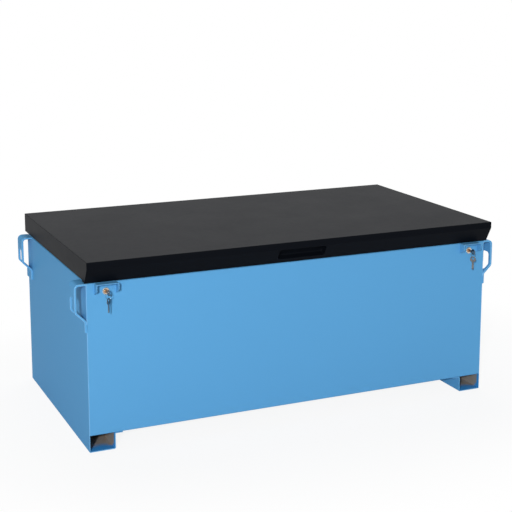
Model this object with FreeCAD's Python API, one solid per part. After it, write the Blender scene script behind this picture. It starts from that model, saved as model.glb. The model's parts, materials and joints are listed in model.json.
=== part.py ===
"""Jobsite storage box: a sheet steel chest with a hinged lid, two cam locks and four welded handles.

All sizes are in millimetres. X runs along the length, Y from the front to the rear, Z up from the floor.
"""
import FreeCAD, Part
import os
from math import acos, atan2, cos, degrees, hypot, pi, radians, sin, sqrt, tan

from FreeCAD import Vector

# Chest
body_length = 1500.0
body_depth = 790.0
rim_height = 565.0
sheet = 2.0
bend = 2.0
rim_flange = 22.0
base_flange = 20.0
floor_gap = 0.5

# Skids
skid_height = 56.0
skid_width = 88.0
skid_sheet = 3.0
skid_flange = 25.0

# Handles
handle_width = 66.0
handle_plate = 6.5
handle_reach = 38.0
handle_bend = 9.0
handle_drop = 95.0
handle_return = 125.0
handle_tab = 160.0
window_width = 40.0
window_top = 48.0
window_bottom = 115.0
window_corner = 10.0

# Lock hoods
hood_width = 75.0
hood_reach = 28.0
hood_sheet = 2.5
hood_front = 23.0
hood_back = 39.0

# Locks
lock_inset = 65.0
lock_drop = 29.0
bezel_radius = 11.5
bezel_thick = 4.0
barrel_radius = 9.0
barrel_length = 26.0
barrel_clearance = 0.2
nut_flats = 24.0
nut_thick = 5.0
plug_radius = 6.0
plug_clearance = 0.05
plug_proud = 1.0
tail_flats = 7.0
tail_length = 4.0
cam_thick = 3.0
cam_length = 28.0
cam_width = 14.0
cam_gap = 0.5
cam_clearance = 0.2
cam_screw_radius = 2.0
cam_screw_head = 5.0
cam_screw_head_thick = 2.5
cam_screw_length = 10.0
screw_clearance = 0.05
cam_corner = 4.0

# Keys
key_thick = 2.2
key_blade_width = 7.5
key_blade_depth = 22.0
key_clearance = 0.2
key_neck_width = 9.0
bow_radius = 10.0
bow_offset = 30.0
bow_hole = 3.6
ring_radius = 9.0
ring_wire = 0.8
ring_clearance = 0.3
spare_bow_radius = 11.0
spare_blade_length = 28.0
spare_hole = 4.6
spare_hole_inset = 6.8
spare_clearance = 1.1
spare_turn = 45.0

# Rim seal
seal_inset = 6.0
seal_width = 12.0
seal_thick = 2.7
seal_gap = 0.3

# Lid
lid_height = 77.0
lid_end_overhang = 6.0
lid_front_overhang = 36.0
lid_rear_overhang = 12.0
lid_sheet = 2.0
front_band = 22.0
lip_reach = 6.0
lid_return = 37.0
lid_end_gap = 9.0
lid_rear_gap = 10.0
lid_nose_length = 26.0
rail_sheet = 2.0
rail_upstand = 26.0
rail_step = 12.0
rail_seat = 16.0
rail_end_gap = 1.0
rear_rail_inset = 26.0
rear_rail_seat = 22.0
rear_rail_gap = 4.0
rib_spacing = 760.0
rib_crown = 50.0
rib_flange = 20.0
rib_height = 25.0
rib_sheet = 1.5
rib_end_gap = 6.0

# Finger pocket in the lid
pocket_length = 176.0
pocket_height = 42.0
pocket_corner = 8.0
pocket_depth = 20.0
pocket_wall = 1.5
pocket_rim_sides = 10.0
pocket_middle = 36.0

# Lock keepers on the lid
keeper_sheet = 3.0
keeper_width = 14.0
keeper_offset = 13.0
keeper_gap = 0.3
keeper_play = 0.6
keeper_lip = 6.0
keeper_foot = 20.0

# Hinge
hinge_end_gap = 50.0
knuckle_count = 21
knuckle_radius = 5.5
knuckle_gap = 0.6
knuckle_wall_gap = 0.5
hinge_rise = 3.0
hinge_sheet = 2.0
hinge_pin_radius = 3.0
hinge_clearance = 0.05
leaf_gap = 0.5
body_leaf_height = 38.0
lid_leaf_height = 40.0
rivet_count = 8
rivet_margin = 70.0
rivet_radius = 1.8
rivet_clearance = 0.1
rivet_head = 4.2
rivet_head_height = 2.2
rivet_drop = 24.0

# Prop rod
lid_open_angle = 80.0
prop_rest_forward = 228.0
prop_radius = 4.0
prop_ball = 9.0
prop_pivot_forward = 350.0
prop_pivot_rise = 30.0
prop_inset = 42.0
prop_clearance = 0.08
prop_bracket_sheet = 3.0
prop_bracket_width = 30.0
prop_bracket_gap = 8.0
prop_bracket_foot = 28.0
prop_bracket_below = 10.0
prop_nut_radius = 7.0
prop_nut_thick = 2.0
prop_nut_clearance = 0.03
prop_side_gap = 0.5
prop_ball_seat = 2.5
prop_rest_sheet = 3.0
prop_rest_width = 40.0
prop_rest_margin = 12.0
prop_seat_gap = 0.5
clip_place = 300.0
clip_width = 20.0
clip_sheet = 1.5
clip_side_gap = 0.6
clip_below = 6.0

# Places worked out from the sizes above
half_length = body_length / 2
front_reach = max(lid_front_overhang, bow_offset + bow_radius)
rear_reach = lid_rear_overhang
y_front = (front_reach - rear_reach - body_depth) / 2
y_rear = y_front + body_depth
rim = rim_height
lid_top = rim + lid_height
lid_under = lid_top - lid_sheet
lid_seat = rim + seal_thick + seal_gap
lid_half = half_length + lid_end_overhang
skin_half = lid_half - lid_sheet
lock_x = half_length - lock_inset
lock_z = rim - lock_drop
hinge_length = body_length - 2 * hinge_end_gap
hinge_y = y_rear + knuckle_wall_gap + knuckle_radius
hinge_z = rim + hinge_rise
prop_x = half_length - prop_inset
prop_rest_hole = prop_ball - prop_ball_seat


def flat_point(plane, a, b, level):
    """Put a drawn point of one plane at a level along that plane's normal."""
    if plane == "yz":
        return Vector(level, a, b)
    if plane == "xz":
        return Vector(a, level, b)
    return Vector(a, b, level)


def rounded_wire(points, radii, plane, level):
    """Close a polygon whose corners are rounded by the given radii."""
    count = len(points)
    edges = []
    starts = []
    for i in range(count):
        here = Vector(points[i][0], points[i][1], 0)
        to_last = (Vector(points[i - 1][0], points[i - 1][1], 0) - here).normalize()
        after = points[(i + 1) % count]
        to_next = (Vector(after[0], after[1], 0) - here).normalize()
        if radii[i] == 0:
            starts.append((here, here, None))
            continue
        half_angle = acos(max(-1.0, min(1.0, to_last.dot(to_next)))) / 2
        run = radii[i] / tan(half_angle)
        middle = (to_last + to_next).normalize()
        reach = radii[i] / sin(half_angle) - radii[i]
        starts.append((here + to_last * run, here + to_next * run, here + middle * reach))

    def lift(point):
        return flat_point(plane, point.x, point.y, level)

    for i in range(count):
        arc_in, arc_out, crown = starts[i]
        if crown is not None:
            edges.append(Part.Arc(lift(arc_in), lift(crown), lift(arc_out)).toShape())
        next_in = starts[(i + 1) % count][0]
        if (next_in - arc_out).Length > 1e-6:
            edges.append(Part.LineSegment(lift(arc_out), lift(next_in)).toShape())
    return Part.Wire(edges)


def prism(points, plane, start, stop, radii=None):
    """Extrude a closed outline along its plane's normal from start to stop."""
    wire = rounded_wire(points, radii or [0] * len(points), plane, start)
    return Part.Face(wire).extrude(flat_point(plane, 0, 0, stop - start))


def sheet_outline(path, thickness, inner_bend):
    """Thicken an open path to its left and give each bend its two radii."""
    directions = []
    for first, last in zip(path, path[1:]):
        run = hypot(last[0] - first[0], last[1] - first[1])
        directions.append(((last[0] - first[0]) / run, (last[1] - first[1]) / run))
    offset = []
    outer_radii = []
    inner_radii = []
    for i, (a, b) in enumerate(path):
        before = directions[max(i - 1, 0)]
        after = directions[min(i, len(directions) - 1)]
        normal = (-before[1] - after[1], before[0] + after[0])
        scale = thickness * 2 / (normal[0] ** 2 + normal[1] ** 2)
        offset.append((a + normal[0] * scale, b + normal[1] * scale))
        turn = before[0] * after[1] - before[1] * after[0]
        if i in (0, len(path) - 1):
            outer_radii.append(0)
            inner_radii.append(0)
        else:
            outer_radii.append(inner_bend + thickness if turn > 0 else inner_bend)
            inner_radii.append(inner_bend if turn > 0 else inner_bend + thickness)
    return path + offset[::-1], outer_radii + inner_radii[::-1]


def bent_sheet(path, thickness, inner_bend, plane, start, stop):
    """Bend a sheet along a path and run it from start to stop."""
    points, radii = sheet_outline(path, thickness, inner_bend)
    return prism(points, plane, start, stop, radii)


def block(low, high):
    """Make a box between two corners."""
    return Part.makeBox(high[0] - low[0], high[1] - low[1], high[2] - low[2], Vector(*low))


def along_x(x, y, z, radius, length):
    """Make a round bar that starts at a point and runs along X."""
    return Part.makeCylinder(radius, length, Vector(x, y, z), Vector(1, 0, 0))


def along_y(x, y, z, radius, length):
    """Make a round bar that starts at a point and runs along Y."""
    return Part.makeCylinder(radius, length, Vector(x, y, z), Vector(0, 1, 0))


def along_z(x, y, z, radius, length):
    """Make a round bar that starts at a point and runs up."""
    return Part.makeCylinder(radius, length, Vector(x, y, z), Vector(0, 0, 1))


def rounded_slab(length, height, corner, low, high):
    """Make a slab with rounded corners, long in X, about the origin, from low to high along Z."""
    across = length / 2
    up = height / 2
    corners = [(-across, -up), (across, -up), (across, up), (-across, up)]
    return prism(corners, "xy", low, high, [corner] * 4)


def mirrored(shape):
    """Turn a right-hand piece into the left-hand one."""
    return shape.mirror(Vector(0, 0, 0), Vector(1, 0, 0))


def both_sides(parts, name, shape):
    """Add a right-hand piece and its mirror image, named for their sides."""
    parts["right_" + name] = shape
    parts["left_" + name] = mirrored(shape)


def chest_panels(parts):
    """Make the front, rear, end and floor sheets."""
    inside = half_length - sheet
    front = [
        (y_front + base_flange, skid_height),
        (y_front, skid_height),
        (y_front, rim),
        (y_front + rim_flange, rim),
    ]
    front_panel = bent_sheet(front[::-1], sheet, bend, "yz", -inside, inside)
    for side in (-1, 1):
        hole = along_y(side * lock_x, y_front - sheet, lock_z, barrel_radius + barrel_clearance, 3 * sheet)
        front_panel = front_panel.cut(hole)
    parts["front_panel"] = front_panel

    rear = [
        (y_rear - base_flange, skid_height),
        (y_rear, skid_height),
        (y_rear, rim),
        (y_rear - rim_flange, rim),
    ]
    rear_panel = bent_sheet(rear, sheet, bend, "yz", -inside, inside)
    for x in rivet_places():
        hole = along_y(x, y_rear - 2 * sheet, rivet_z(), rivet_radius + rivet_clearance, 3 * sheet)
        rear_panel = rear_panel.cut(hole)
    parts["rear_panel"] = rear_panel

    end = [(half_length, 0), (half_length, rim), (half_length - rim_flange, rim)]
    end_panel = bent_sheet(end, sheet, bend, "xz", y_front, y_rear)
    for low, high in ((y_front, y_front + rim_flange), (y_rear - rim_flange, y_rear)):
        corner = block((half_length - 2 * rim_flange, low, rim / 2), (inside, high, rim + sheet))
        end_panel = end_panel.cut(corner)
    both_sides(parts, "end_panel", end_panel)

    floor_inset = sheet + bend + floor_gap
    floor_low = skid_height + sheet
    parts["floor_panel"] = block(
        (-inside, y_front + floor_inset, floor_low), (inside, y_rear - floor_inset, floor_low + sheet)
    )


def skids(parts):
    """Make the folded channel under each end."""
    outside = half_length - sheet
    inner = half_length - skid_width
    path = [
        (inner - skid_flange, skid_height - skid_sheet),
        (inner, skid_height - skid_sheet),
        (inner, 0),
        (outside, 0),
    ]
    both_sides(parts, "skid", bent_sheet(path, skid_sheet, bend, "xz", y_front, y_rear))


def handles(parts):
    """Make the bent plate handles, each with its hand window."""
    path = [
        (half_length + handle_plate, rim - handle_tab),
        (half_length + handle_plate, rim - handle_return),
        (half_length + handle_reach, rim - handle_drop),
        (half_length + handle_reach, rim),
        (half_length, rim),
    ]
    window_side = (handle_width - window_width) / 2
    for name, start in (("front", y_front), ("rear", y_rear - handle_width)):
        plate = bent_sheet(path, handle_plate, handle_bend, "xz", start, start + handle_width)
        window = prism(
            [
                (start + window_side, rim - window_bottom),
                (start + window_side + window_width, rim - window_bottom),
                (start + window_side + window_width, rim - window_top),
                (start + window_side, rim - window_top),
            ],
            "yz",
            half_length + handle_plate * 1.5,
            half_length + 2 * handle_reach,
            [window_corner] * 4,
        )
        both_sides(parts, name + "_handle", plate.cut(window))


def lock_hoods(parts):
    """Make the canopy that shields each lock."""
    half = hood_width / 2
    path = [
        (lock_x + half, rim - hood_back),
        (lock_x + half, rim),
        (lock_x - half, rim),
        (lock_x - half, rim - hood_back),
    ]
    hood = bent_sheet(path, hood_sheet, bend, "xz", y_front - hood_reach, y_front)
    slope = [
        (y_front - hood_reach, rim - hood_front),
        (y_front, rim - hood_back),
        (y_front, rim - 2 * hood_back),
        (y_front - hood_reach, rim - 2 * hood_back),
    ]
    taper = prism(slope, "yz", lock_x - hood_width, lock_x + hood_width)
    both_sides(parts, "lock_hood", hood.cut(taper))


def hexagon(flats):
    """Give the corners of a nut about the lock's axis."""
    radius = flats / sqrt(3)
    corners = []
    for i in range(6):
        angle = pi / 3 * i
        corners.append((lock_x + radius * cos(angle), lock_z + radius * sin(angle)))
    return corners


def locks(parts):
    """Make the lock barrels, nuts, turning plugs, cams and cam screws."""
    face = y_front - bezel_thick
    barrel_end = y_front + barrel_length
    tail_end = barrel_end + tail_length
    barrel = along_y(lock_x, face, lock_z, bezel_radius, bezel_thick)
    barrel = barrel.fuse(along_y(lock_x, y_front, lock_z, barrel_radius, barrel_length)).removeSplitter()
    bore = along_y(lock_x, face, lock_z, plug_radius + plug_clearance, bezel_thick + barrel_length)
    both_sides(parts, "lock_barrel", barrel.cut(bore))

    nut = prism(hexagon(nut_flats), "xz", y_front + sheet, y_front + sheet + nut_thick)
    nut_bore = along_y(lock_x, y_front, lock_z, barrel_radius + barrel_clearance, barrel_length)
    both_sides(parts, "lock_nut", nut.cut(nut_bore))

    plug = along_y(lock_x, face - plug_proud, lock_z, plug_radius, barrel_end - face + plug_proud)
    half_tail = tail_flats / 2
    tail = block(
        (lock_x - half_tail, barrel_end, lock_z - half_tail),
        (lock_x + half_tail, tail_end, lock_z + half_tail),
    )
    plug = plug.fuse(tail).removeSplitter()
    half_way = key_thick / 2 + key_clearance
    half_high = key_blade_width / 2 + key_clearance
    key_end = face - plug_proud + key_blade_depth + key_clearance
    keyway = block(
        (lock_x - half_way, face - 2 * plug_proud, lock_z - half_high),
        (lock_x + half_way, key_end, lock_z + half_high),
    )
    screw_end = tail_end - cam_screw_length
    screw_hole = along_y(lock_x, screw_end, lock_z, cam_screw_radius + screw_clearance, cam_screw_length)
    both_sides(parts, "lock_plug", plug.cut(keyway).cut(screw_hole))

    half_cam = cam_width / 2
    cam_low = tail_end - cam_gap - cam_thick
    arm = prism(
        [
            (lock_x - half_cam, lock_z - half_cam),
            (lock_x + half_cam, lock_z - half_cam),
            (lock_x + half_cam, lock_z + cam_length),
            (lock_x - half_cam, lock_z + cam_length),
        ],
        "xz",
        cam_low,
        cam_low + cam_thick,
        [half_cam * 0.95, half_cam * 0.95, cam_corner, cam_corner],
    )
    half_seat = half_tail + cam_clearance
    seat = block(
        (lock_x - half_seat, cam_low - cam_thick, lock_z - half_seat),
        (lock_x + half_seat, cam_low + 2 * cam_thick, lock_z + half_seat),
    )
    both_sides(parts, "lock_cam", arm.cut(seat))

    screw = along_y(lock_x, tail_end, lock_z, cam_screw_head, cam_screw_head_thick)
    shank = along_y(lock_x, screw_end, lock_z, cam_screw_radius, cam_screw_length)
    both_sides(parts, "cam_screw", screw.fuse(shank).removeSplitter())


def keys(parts):
    """Make the key in each lock, its ring and the spare key that hangs from it."""
    low = lock_x - key_thick / 2
    high = lock_x + key_thick / 2
    bow_y = y_front - bow_offset
    blade_end = y_front - bezel_thick - plug_proud + key_blade_depth
    bow = along_x(low, bow_y, lock_z, bow_radius, key_thick)
    half_neck = key_neck_width / 2
    shoulder = y_front - bezel_thick - plug_proud - key_clearance
    neck = block((low, bow_y, lock_z - half_neck), (high, shoulder, lock_z + half_neck))
    half_blade = key_blade_width / 2
    blade = block((low, bow_y, lock_z - half_blade), (high, blade_end, lock_z + half_blade))
    ring_hole = along_x(low - key_thick, bow_y, lock_z, bow_hole, 3 * key_thick)
    both_sides(parts, "key", bow.fuse([neck, blade]).removeSplitter().cut(ring_hole))

    ring_top = lock_z - bow_hole + ring_wire + ring_clearance
    ring_z = ring_top - ring_radius
    ring = Part.makeTorus(ring_radius, ring_wire, Vector(lock_x, bow_y, ring_z), Vector(0, 1, 0))
    both_sides(parts, "key_ring", ring)

    hole_z = ring_z - ring_radius + ring_wire + spare_clearance - spare_hole
    spare_z = hole_z - spare_bow_radius + spare_hole_inset
    spare_bow = along_x(low, bow_y, spare_z, spare_bow_radius, key_thick)
    spare_blade = block(
        (low, bow_y - half_blade, spare_z - spare_bow_radius - spare_blade_length),
        (high, bow_y + half_blade, spare_z),
    )
    hanging_hole = along_x(low - key_thick, bow_y, hole_z, spare_hole, 3 * key_thick)
    spare = spare_bow.fuse(spare_blade).removeSplitter().cut(hanging_hole)
    spare.rotate(Vector(lock_x, bow_y, 0), Vector(0, 0, 1), spare_turn)
    both_sides(parts, "spare_key", spare)
    print("ring pivot", lock_x, bow_y, ring_top, "spare key pivot", lock_x, bow_y, ring_z - ring_radius)


def rim_seal(parts):
    """Make the rubber strip that lies round the rim."""
    outer_x = half_length - seal_inset
    inner_x = outer_x - seal_width
    low = y_front + seal_inset
    high = y_rear - seal_inset
    outer = block((-outer_x, low, rim), (outer_x, high, rim + seal_thick))
    inner = block(
        (-inner_x, low + seal_width, rim - seal_thick), (inner_x, high - seal_width, rim + 2 * seal_thick)
    )
    parts["rim_seal"] = outer.cut(inner)


def lid_outline():
    """Give the lid's outer profile from the front lip over the top to the rear edge."""
    lip_y = y_front - lip_reach
    nose_y = y_front - lid_front_overhang
    return [
        (lip_y + lid_return, lid_seat),
        (lip_y, lid_seat),
        (nose_y, lid_top - front_band),
        (nose_y, lid_top),
        (y_rear + lid_rear_overhang, lid_top),
        (y_rear + lid_rear_overhang, rim + lid_rear_gap),
    ]


def band_frame():
    """Give the place and turn of the lid's sloping front band, from its lower edge upwards."""
    lip, nose = lid_outline()[1:3]
    turn = degrees(atan2(nose[1] - lip[1], nose[0] - lip[0]))
    return FreeCAD.Placement(Vector(0, lip[0], lip[1]), FreeCAD.Rotation(Vector(1, 0, 0), turn))


def on_band(shape):
    """Move a shape drawn flat onto the lid's sloping front band."""
    shape.translate(Vector(0, pocket_middle, 0))
    return shape.transformGeometry(band_frame().toMatrix())


def lid_shell(parts):
    """Make the folded lid skin, its end plates and the finger pocket."""
    outline = lid_outline()
    skin = bent_sheet(outline[::-1], lid_sheet, bend, "yz", -skin_half, skin_half)
    slot = on_band(rounded_slab(pocket_length, pocket_height, pocket_corner, -3 * lid_sheet, 3 * lid_sheet))
    parts["lid_skin"] = skin.cut(slot)

    lip_y = outline[1][0]
    end_low = rim + lid_end_gap
    end = [
        (lip_y, lid_seat),
        outline[2],
        outline[3],
        outline[4],
        (outline[4][0], end_low),
        (lip_y + lid_nose_length, end_low),
    ]
    corner = bend + lid_sheet
    plate = prism(end, "yz", skin_half, lid_half, [0, corner, corner, corner, corner, 0])
    both_sides(parts, "lid_end", plate)

    back = -lid_sheet - pocket_depth
    collar_low = -lid_sheet - pocket_wall
    cup_length = pocket_length + 2 * pocket_wall
    cup_height = pocket_height + 2 * pocket_wall
    cup_corner = pocket_corner + pocket_wall
    cup = rounded_slab(cup_length, cup_height, cup_corner, back - pocket_wall, -lid_sheet)
    collar_length = pocket_length + 2 * pocket_rim_sides
    collar = rounded_slab(collar_length, cup_height, cup_corner, collar_low, -lid_sheet)
    hollow = rounded_slab(pocket_length, pocket_height, pocket_corner, back, 0)
    parts["lid_finger_pocket"] = on_band(cup.fuse(collar).removeSplitter().cut(hollow))


def lid_rails(parts):
    """Make the rails that press on the seal and the ribs that stiffen the lid."""
    front_start = y_front - lip_reach + lid_return + rail_end_gap
    rear_stop = y_rear - rear_rail_inset - rail_end_gap
    step_z = rim + lid_end_gap
    path = [
        (skin_half - rail_step - rail_seat, lid_seat),
        (skin_half - rail_step, lid_seat),
        (skin_half - rail_step, step_z),
        (skin_half, step_z),
        (skin_half, step_z + rail_upstand),
    ]
    both_sides(parts, "lid_rail", bent_sheet(path, rail_sheet, bend / 2, "xz", front_start, rear_stop))

    rear_path = [
        (y_rear - rear_rail_inset, lid_under),
        (y_rear - rear_rail_inset, lid_seat),
        (y_rear - rear_rail_inset + rear_rail_seat, lid_seat),
    ]
    rear_half = skin_half - rail_step - rail_seat - rear_rail_gap
    parts["lid_rear_rail"] = bent_sheet(rear_path, rail_sheet, bend, "yz", -rear_half, rear_half)

    rib_x = rib_spacing / 2
    half = rib_crown / 2
    crown_z = lid_under - rib_height + rib_sheet
    rib_path = [
        (rib_x + half + rib_flange, lid_under),
        (rib_x + half, lid_under),
        (rib_x + half, crown_z),
        (rib_x - half, crown_z),
        (rib_x - half, lid_under),
        (rib_x - half - rib_flange, lid_under),
    ]
    rib_start = y_front - lid_front_overhang + lid_sheet + bend + rib_end_gap
    rib = bent_sheet(rib_path, rib_sheet, bend, "xz", rib_start, rear_stop - rib_end_gap)
    both_sides(parts, "lid_rib", rib)


def lock_keepers(parts):
    """Make the catch plate that each cam turns above."""
    foot_z = lid_seat + lid_sheet
    strap_y = y_front - lip_reach + lid_return + keeper_gap
    lip_top = lock_z - cam_width / 2 - keeper_play
    foot_y = strap_y - keeper_foot
    points = [
        (foot_y, foot_z),
        (strap_y, foot_z),
        (strap_y, lip_top),
        (strap_y - keeper_lip, lip_top),
        (strap_y - keeper_lip, lip_top - keeper_sheet),
        (strap_y + keeper_sheet, lip_top - keeper_sheet),
        (strap_y + keeper_sheet, foot_z + keeper_sheet),
        (foot_y, foot_z + keeper_sheet),
    ]
    outer = bend + keeper_sheet / 2
    radii = [0, 0, bend / 2, 0, 0, outer, outer, 0]
    high = lock_x - keeper_offset
    both_sides(parts, "lock_keeper", prism(points, "yz", high - keeper_width, high, radii))


def rivet_places():
    """Give the rivets' places along the hinge."""
    span = hinge_length - 2 * rivet_margin
    return [-span / 2 + span * i / (rivet_count - 1) for i in range(rivet_count)]


def rivet_z():
    """Give the height of the row of rivets."""
    return hinge_z - rivet_drop


def hinge(parts):
    """Make the continuous hinge: two leaves with alternate knuckles, the pin and the rivets."""
    pitch = hinge_length / knuckle_count
    half = hinge_length / 2
    leaf_edge = knuckle_radius + leaf_gap
    body_leaf = block(
        (-half, y_rear, hinge_z - body_leaf_height), (half, y_rear + hinge_sheet, hinge_z - leaf_edge)
    )
    lid_inner = y_rear + lid_rear_overhang - lid_sheet
    lid_leaf = block(
        (-half, lid_inner - hinge_sheet, hinge_z + leaf_edge), (half, lid_inner, hinge_z + lid_leaf_height)
    )
    body_knuckles = []
    lid_knuckles = []
    for i in range(knuckle_count):
        start = -half + pitch * i + knuckle_gap / 2
        stop = start + pitch - knuckle_gap
        knuckle = along_x(start, hinge_y, hinge_z, knuckle_radius, stop - start)
        if i % 2 == 0:
            web = block((start, y_rear, hinge_z - leaf_edge), (stop, y_rear + hinge_sheet, hinge_z))
            body_knuckles += [knuckle, web]
        else:
            web = block((start, lid_inner - hinge_sheet, hinge_z), (stop, lid_inner, hinge_z + leaf_edge))
            lid_knuckles += [knuckle, web]
    bore_radius = hinge_pin_radius + hinge_clearance
    bore = along_x(-half - pitch, hinge_y, hinge_z, bore_radius, hinge_length + 2 * pitch)
    body_leaf = body_leaf.fuse(body_knuckles).removeSplitter().cut(bore)
    for x in rivet_places():
        hole = along_y(x, y_rear - sheet, rivet_z(), rivet_radius + rivet_clearance, 3 * hinge_sheet)
        body_leaf = body_leaf.cut(hole)
    parts["hinge_body_leaf"] = body_leaf
    parts["hinge_lid_leaf"] = lid_leaf.fuse(lid_knuckles).removeSplitter().cut(bore)
    parts["hinge_pin"] = along_x(-half, hinge_y, hinge_z, hinge_pin_radius, hinge_length)

    rivets = []
    for x in rivet_places():
        outside = y_rear + hinge_sheet
        inside = y_rear - sheet
        head = Part.makeCone(
            rivet_head, rivet_radius, rivet_head_height, Vector(x, outside, rivet_z()), Vector(0, 1, 0)
        )
        tail = along_y(x, inside - rivet_head_height, rivet_z(), rivet_head * 0.8, rivet_head_height)
        shank = along_y(x, inside, rivet_z(), rivet_radius, outside - inside)
        rivets.append(head.fuse([shank, tail]).removeSplitter())
    parts["hinge_rivets"] = Part.makeCompound(rivets)


def prop_reach():
    """Give the prop's length from its pivot to its ball, and its swing from the clip to the rest."""
    opened = radians(lid_open_angle)
    pivot_forward = prop_pivot_forward * cos(opened) - prop_pivot_rise * sin(opened)
    pivot_rise = prop_pivot_forward * sin(opened) + prop_pivot_rise * cos(opened)
    ball_z = rim - sheet + sqrt(prop_ball**2 - prop_rest_hole**2) + prop_seat_gap
    fall = hinge_z + pivot_rise - ball_z
    reach = prop_rest_forward - pivot_forward
    return hypot(reach, fall), degrees(atan2(fall, reach)) + lid_open_angle


def prop(parts):
    """Make the prop rod, its bracket and clip on the lid, and its rest on the chest."""
    prop_length, swing = prop_reach()
    pivot_y = hinge_y - prop_pivot_forward
    pivot_z = hinge_z + prop_pivot_rise
    plate_x = prop_x + prop_bracket_gap
    pin_end = plate_x + prop_bracket_sheet + prop_side_gap + prop_nut_thick
    arm = along_y(prop_x, pivot_y - prop_length, pivot_z, prop_radius, prop_length)
    pin = along_x(prop_x, pivot_y, pivot_z, prop_radius, pin_end - prop_x)
    elbow = Part.makeSphere(prop_radius, Vector(prop_x, pivot_y, pivot_z))
    ball = Part.makeSphere(prop_ball, Vector(prop_x, pivot_y - prop_length, pivot_z))
    parts["prop_rod"] = arm.fuse([pin, elbow, ball]).removeSplitter()

    nut_x = plate_x + prop_bracket_sheet + prop_side_gap
    nut = along_x(nut_x, pivot_y, pivot_z, prop_nut_radius, prop_nut_thick)
    nut_bore = along_x(nut_x, pivot_y, pivot_z, prop_radius + prop_nut_clearance, prop_nut_thick)
    parts["prop_push_nut"] = nut.cut(nut_bore)

    plate_far = plate_x + prop_bracket_sheet
    path = [
        (plate_far, pivot_z - prop_bracket_below),
        (plate_far, lid_under),
        (plate_far - prop_bracket_foot, lid_under),
    ]
    start = pivot_y - prop_bracket_width / 2
    bracket = bent_sheet(path, prop_bracket_sheet, bend, "xz", start, start + prop_bracket_width)
    pivot_hole = along_x(prop_x, pivot_y, pivot_z, prop_radius + prop_clearance, pin_end - prop_x)
    parts["prop_bracket"] = bracket.cut(pivot_hole)

    half_clip = prop_radius + clip_side_gap + clip_sheet
    clip_path = [
        (prop_x + half_clip, pivot_z - clip_below),
        (prop_x + half_clip, lid_under),
        (prop_x - half_clip, lid_under),
        (prop_x - half_clip, pivot_z - clip_below),
    ]
    clip_y = pivot_y - clip_place
    parts["prop_clip"] = bent_sheet(clip_path, clip_sheet, bend / 2, "xz", clip_y, clip_y + clip_width)

    seat_y = hinge_y - prop_rest_forward
    half_rest = prop_rest_width / 2
    rest_top = rim - sheet
    rest = block(
        (prop_x - prop_ball - prop_rest_margin, seat_y - half_rest, rest_top - prop_rest_sheet),
        (half_length - sheet - bend, seat_y + half_rest, rest_top),
    )
    hole = along_z(prop_x, seat_y, rest_top - 2 * prop_rest_sheet, prop_rest_hole, 3 * prop_rest_sheet)
    parts["prop_rest"] = rest.cut(hole)
    print("prop pivot", prop_x, pivot_y, pivot_z, "length", prop_length, "swing", swing)


def main():
    """Build every piece and write one file for each node."""
    parts = {}
    chest_panels(parts)
    skids(parts)
    handles(parts)
    lock_hoods(parts)
    locks(parts)
    keys(parts)
    rim_seal(parts)
    lid_shell(parts)
    lid_rails(parts)
    lock_keepers(parts)
    hinge(parts)
    prop(parts)
    os.makedirs("parts", exist_ok=True)
    for name, shape in parts.items():
        if not shape.isValid():
            print("not valid", name)
        print(name, len(shape.Solids), round(shape.Volume))
        shape.exportStep(os.path.join("parts", name + ".step"))
    print("front", y_front, "rear", y_rear, "hinge", hinge_y, hinge_z, "nodes", len(parts))


main()
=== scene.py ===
"""Looks of a jobsite storage box: blue steel chest, black lid, key locks and bent plate handles."""

import json
import logging
import math
from dataclasses import dataclass
from enum import Enum, IntEnum
from typing import Any, Callable, Iterable, Sequence, Union

import bmesh
import bpy
from mathutils import Matrix, Vector

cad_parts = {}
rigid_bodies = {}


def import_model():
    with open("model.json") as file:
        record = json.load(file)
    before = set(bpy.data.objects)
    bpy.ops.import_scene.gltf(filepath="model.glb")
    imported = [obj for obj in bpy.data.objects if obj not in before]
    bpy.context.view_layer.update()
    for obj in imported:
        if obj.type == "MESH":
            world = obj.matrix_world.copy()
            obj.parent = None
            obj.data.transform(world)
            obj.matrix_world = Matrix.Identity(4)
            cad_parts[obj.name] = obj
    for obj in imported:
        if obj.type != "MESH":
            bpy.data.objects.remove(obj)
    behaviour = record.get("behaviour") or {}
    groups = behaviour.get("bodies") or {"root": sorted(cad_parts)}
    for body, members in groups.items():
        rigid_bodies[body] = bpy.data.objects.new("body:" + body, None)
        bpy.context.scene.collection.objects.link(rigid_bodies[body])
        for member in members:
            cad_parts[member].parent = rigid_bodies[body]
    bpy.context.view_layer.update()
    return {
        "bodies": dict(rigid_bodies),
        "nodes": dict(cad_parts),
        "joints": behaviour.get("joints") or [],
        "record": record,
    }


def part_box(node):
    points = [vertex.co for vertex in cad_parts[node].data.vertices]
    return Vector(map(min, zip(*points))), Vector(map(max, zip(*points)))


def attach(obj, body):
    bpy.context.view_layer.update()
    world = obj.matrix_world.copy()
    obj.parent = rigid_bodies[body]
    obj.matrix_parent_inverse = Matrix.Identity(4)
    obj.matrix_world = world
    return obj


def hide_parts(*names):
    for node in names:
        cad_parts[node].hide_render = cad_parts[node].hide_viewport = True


Point = tuple[float, float]
Triple = tuple[float, float, float]
Mesh = bmesh.types.BMesh
Material = bpy.types.Material
Owner = Union[bpy.types.Material, bpy.types.World]
Operand = Union["Socket", float]
Colour = Union[Triple, bpy.types.NodeSocket]
Inputs = dict[Union[str, int], Any]
Place = Callable[[float, float, float], Vector]

LOG = logging.getLogger("storage_box")
MM = 0.001
SKID_WIDTH = 88 * MM
ACROSS = Vector((1.0, 0.0, 0.0))
BACK = Vector((0.0, 1.0, 0.0))
WHITE = (1.0, 1.0, 1.0, 1.0)
# Least part of a unit normal along an axis that counts as facing that way
FACING = 0.5
# Points of a turned mesh that are nearer than this become one
MERGE = 1e-6


class Side(Enum):
    """The two ends of the box."""

    LEFT = "left"
    RIGHT = "right"


class Wall(Enum):
    """The two long walls of the box."""

    FRONT = "front"
    REAR = "rear"


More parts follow.
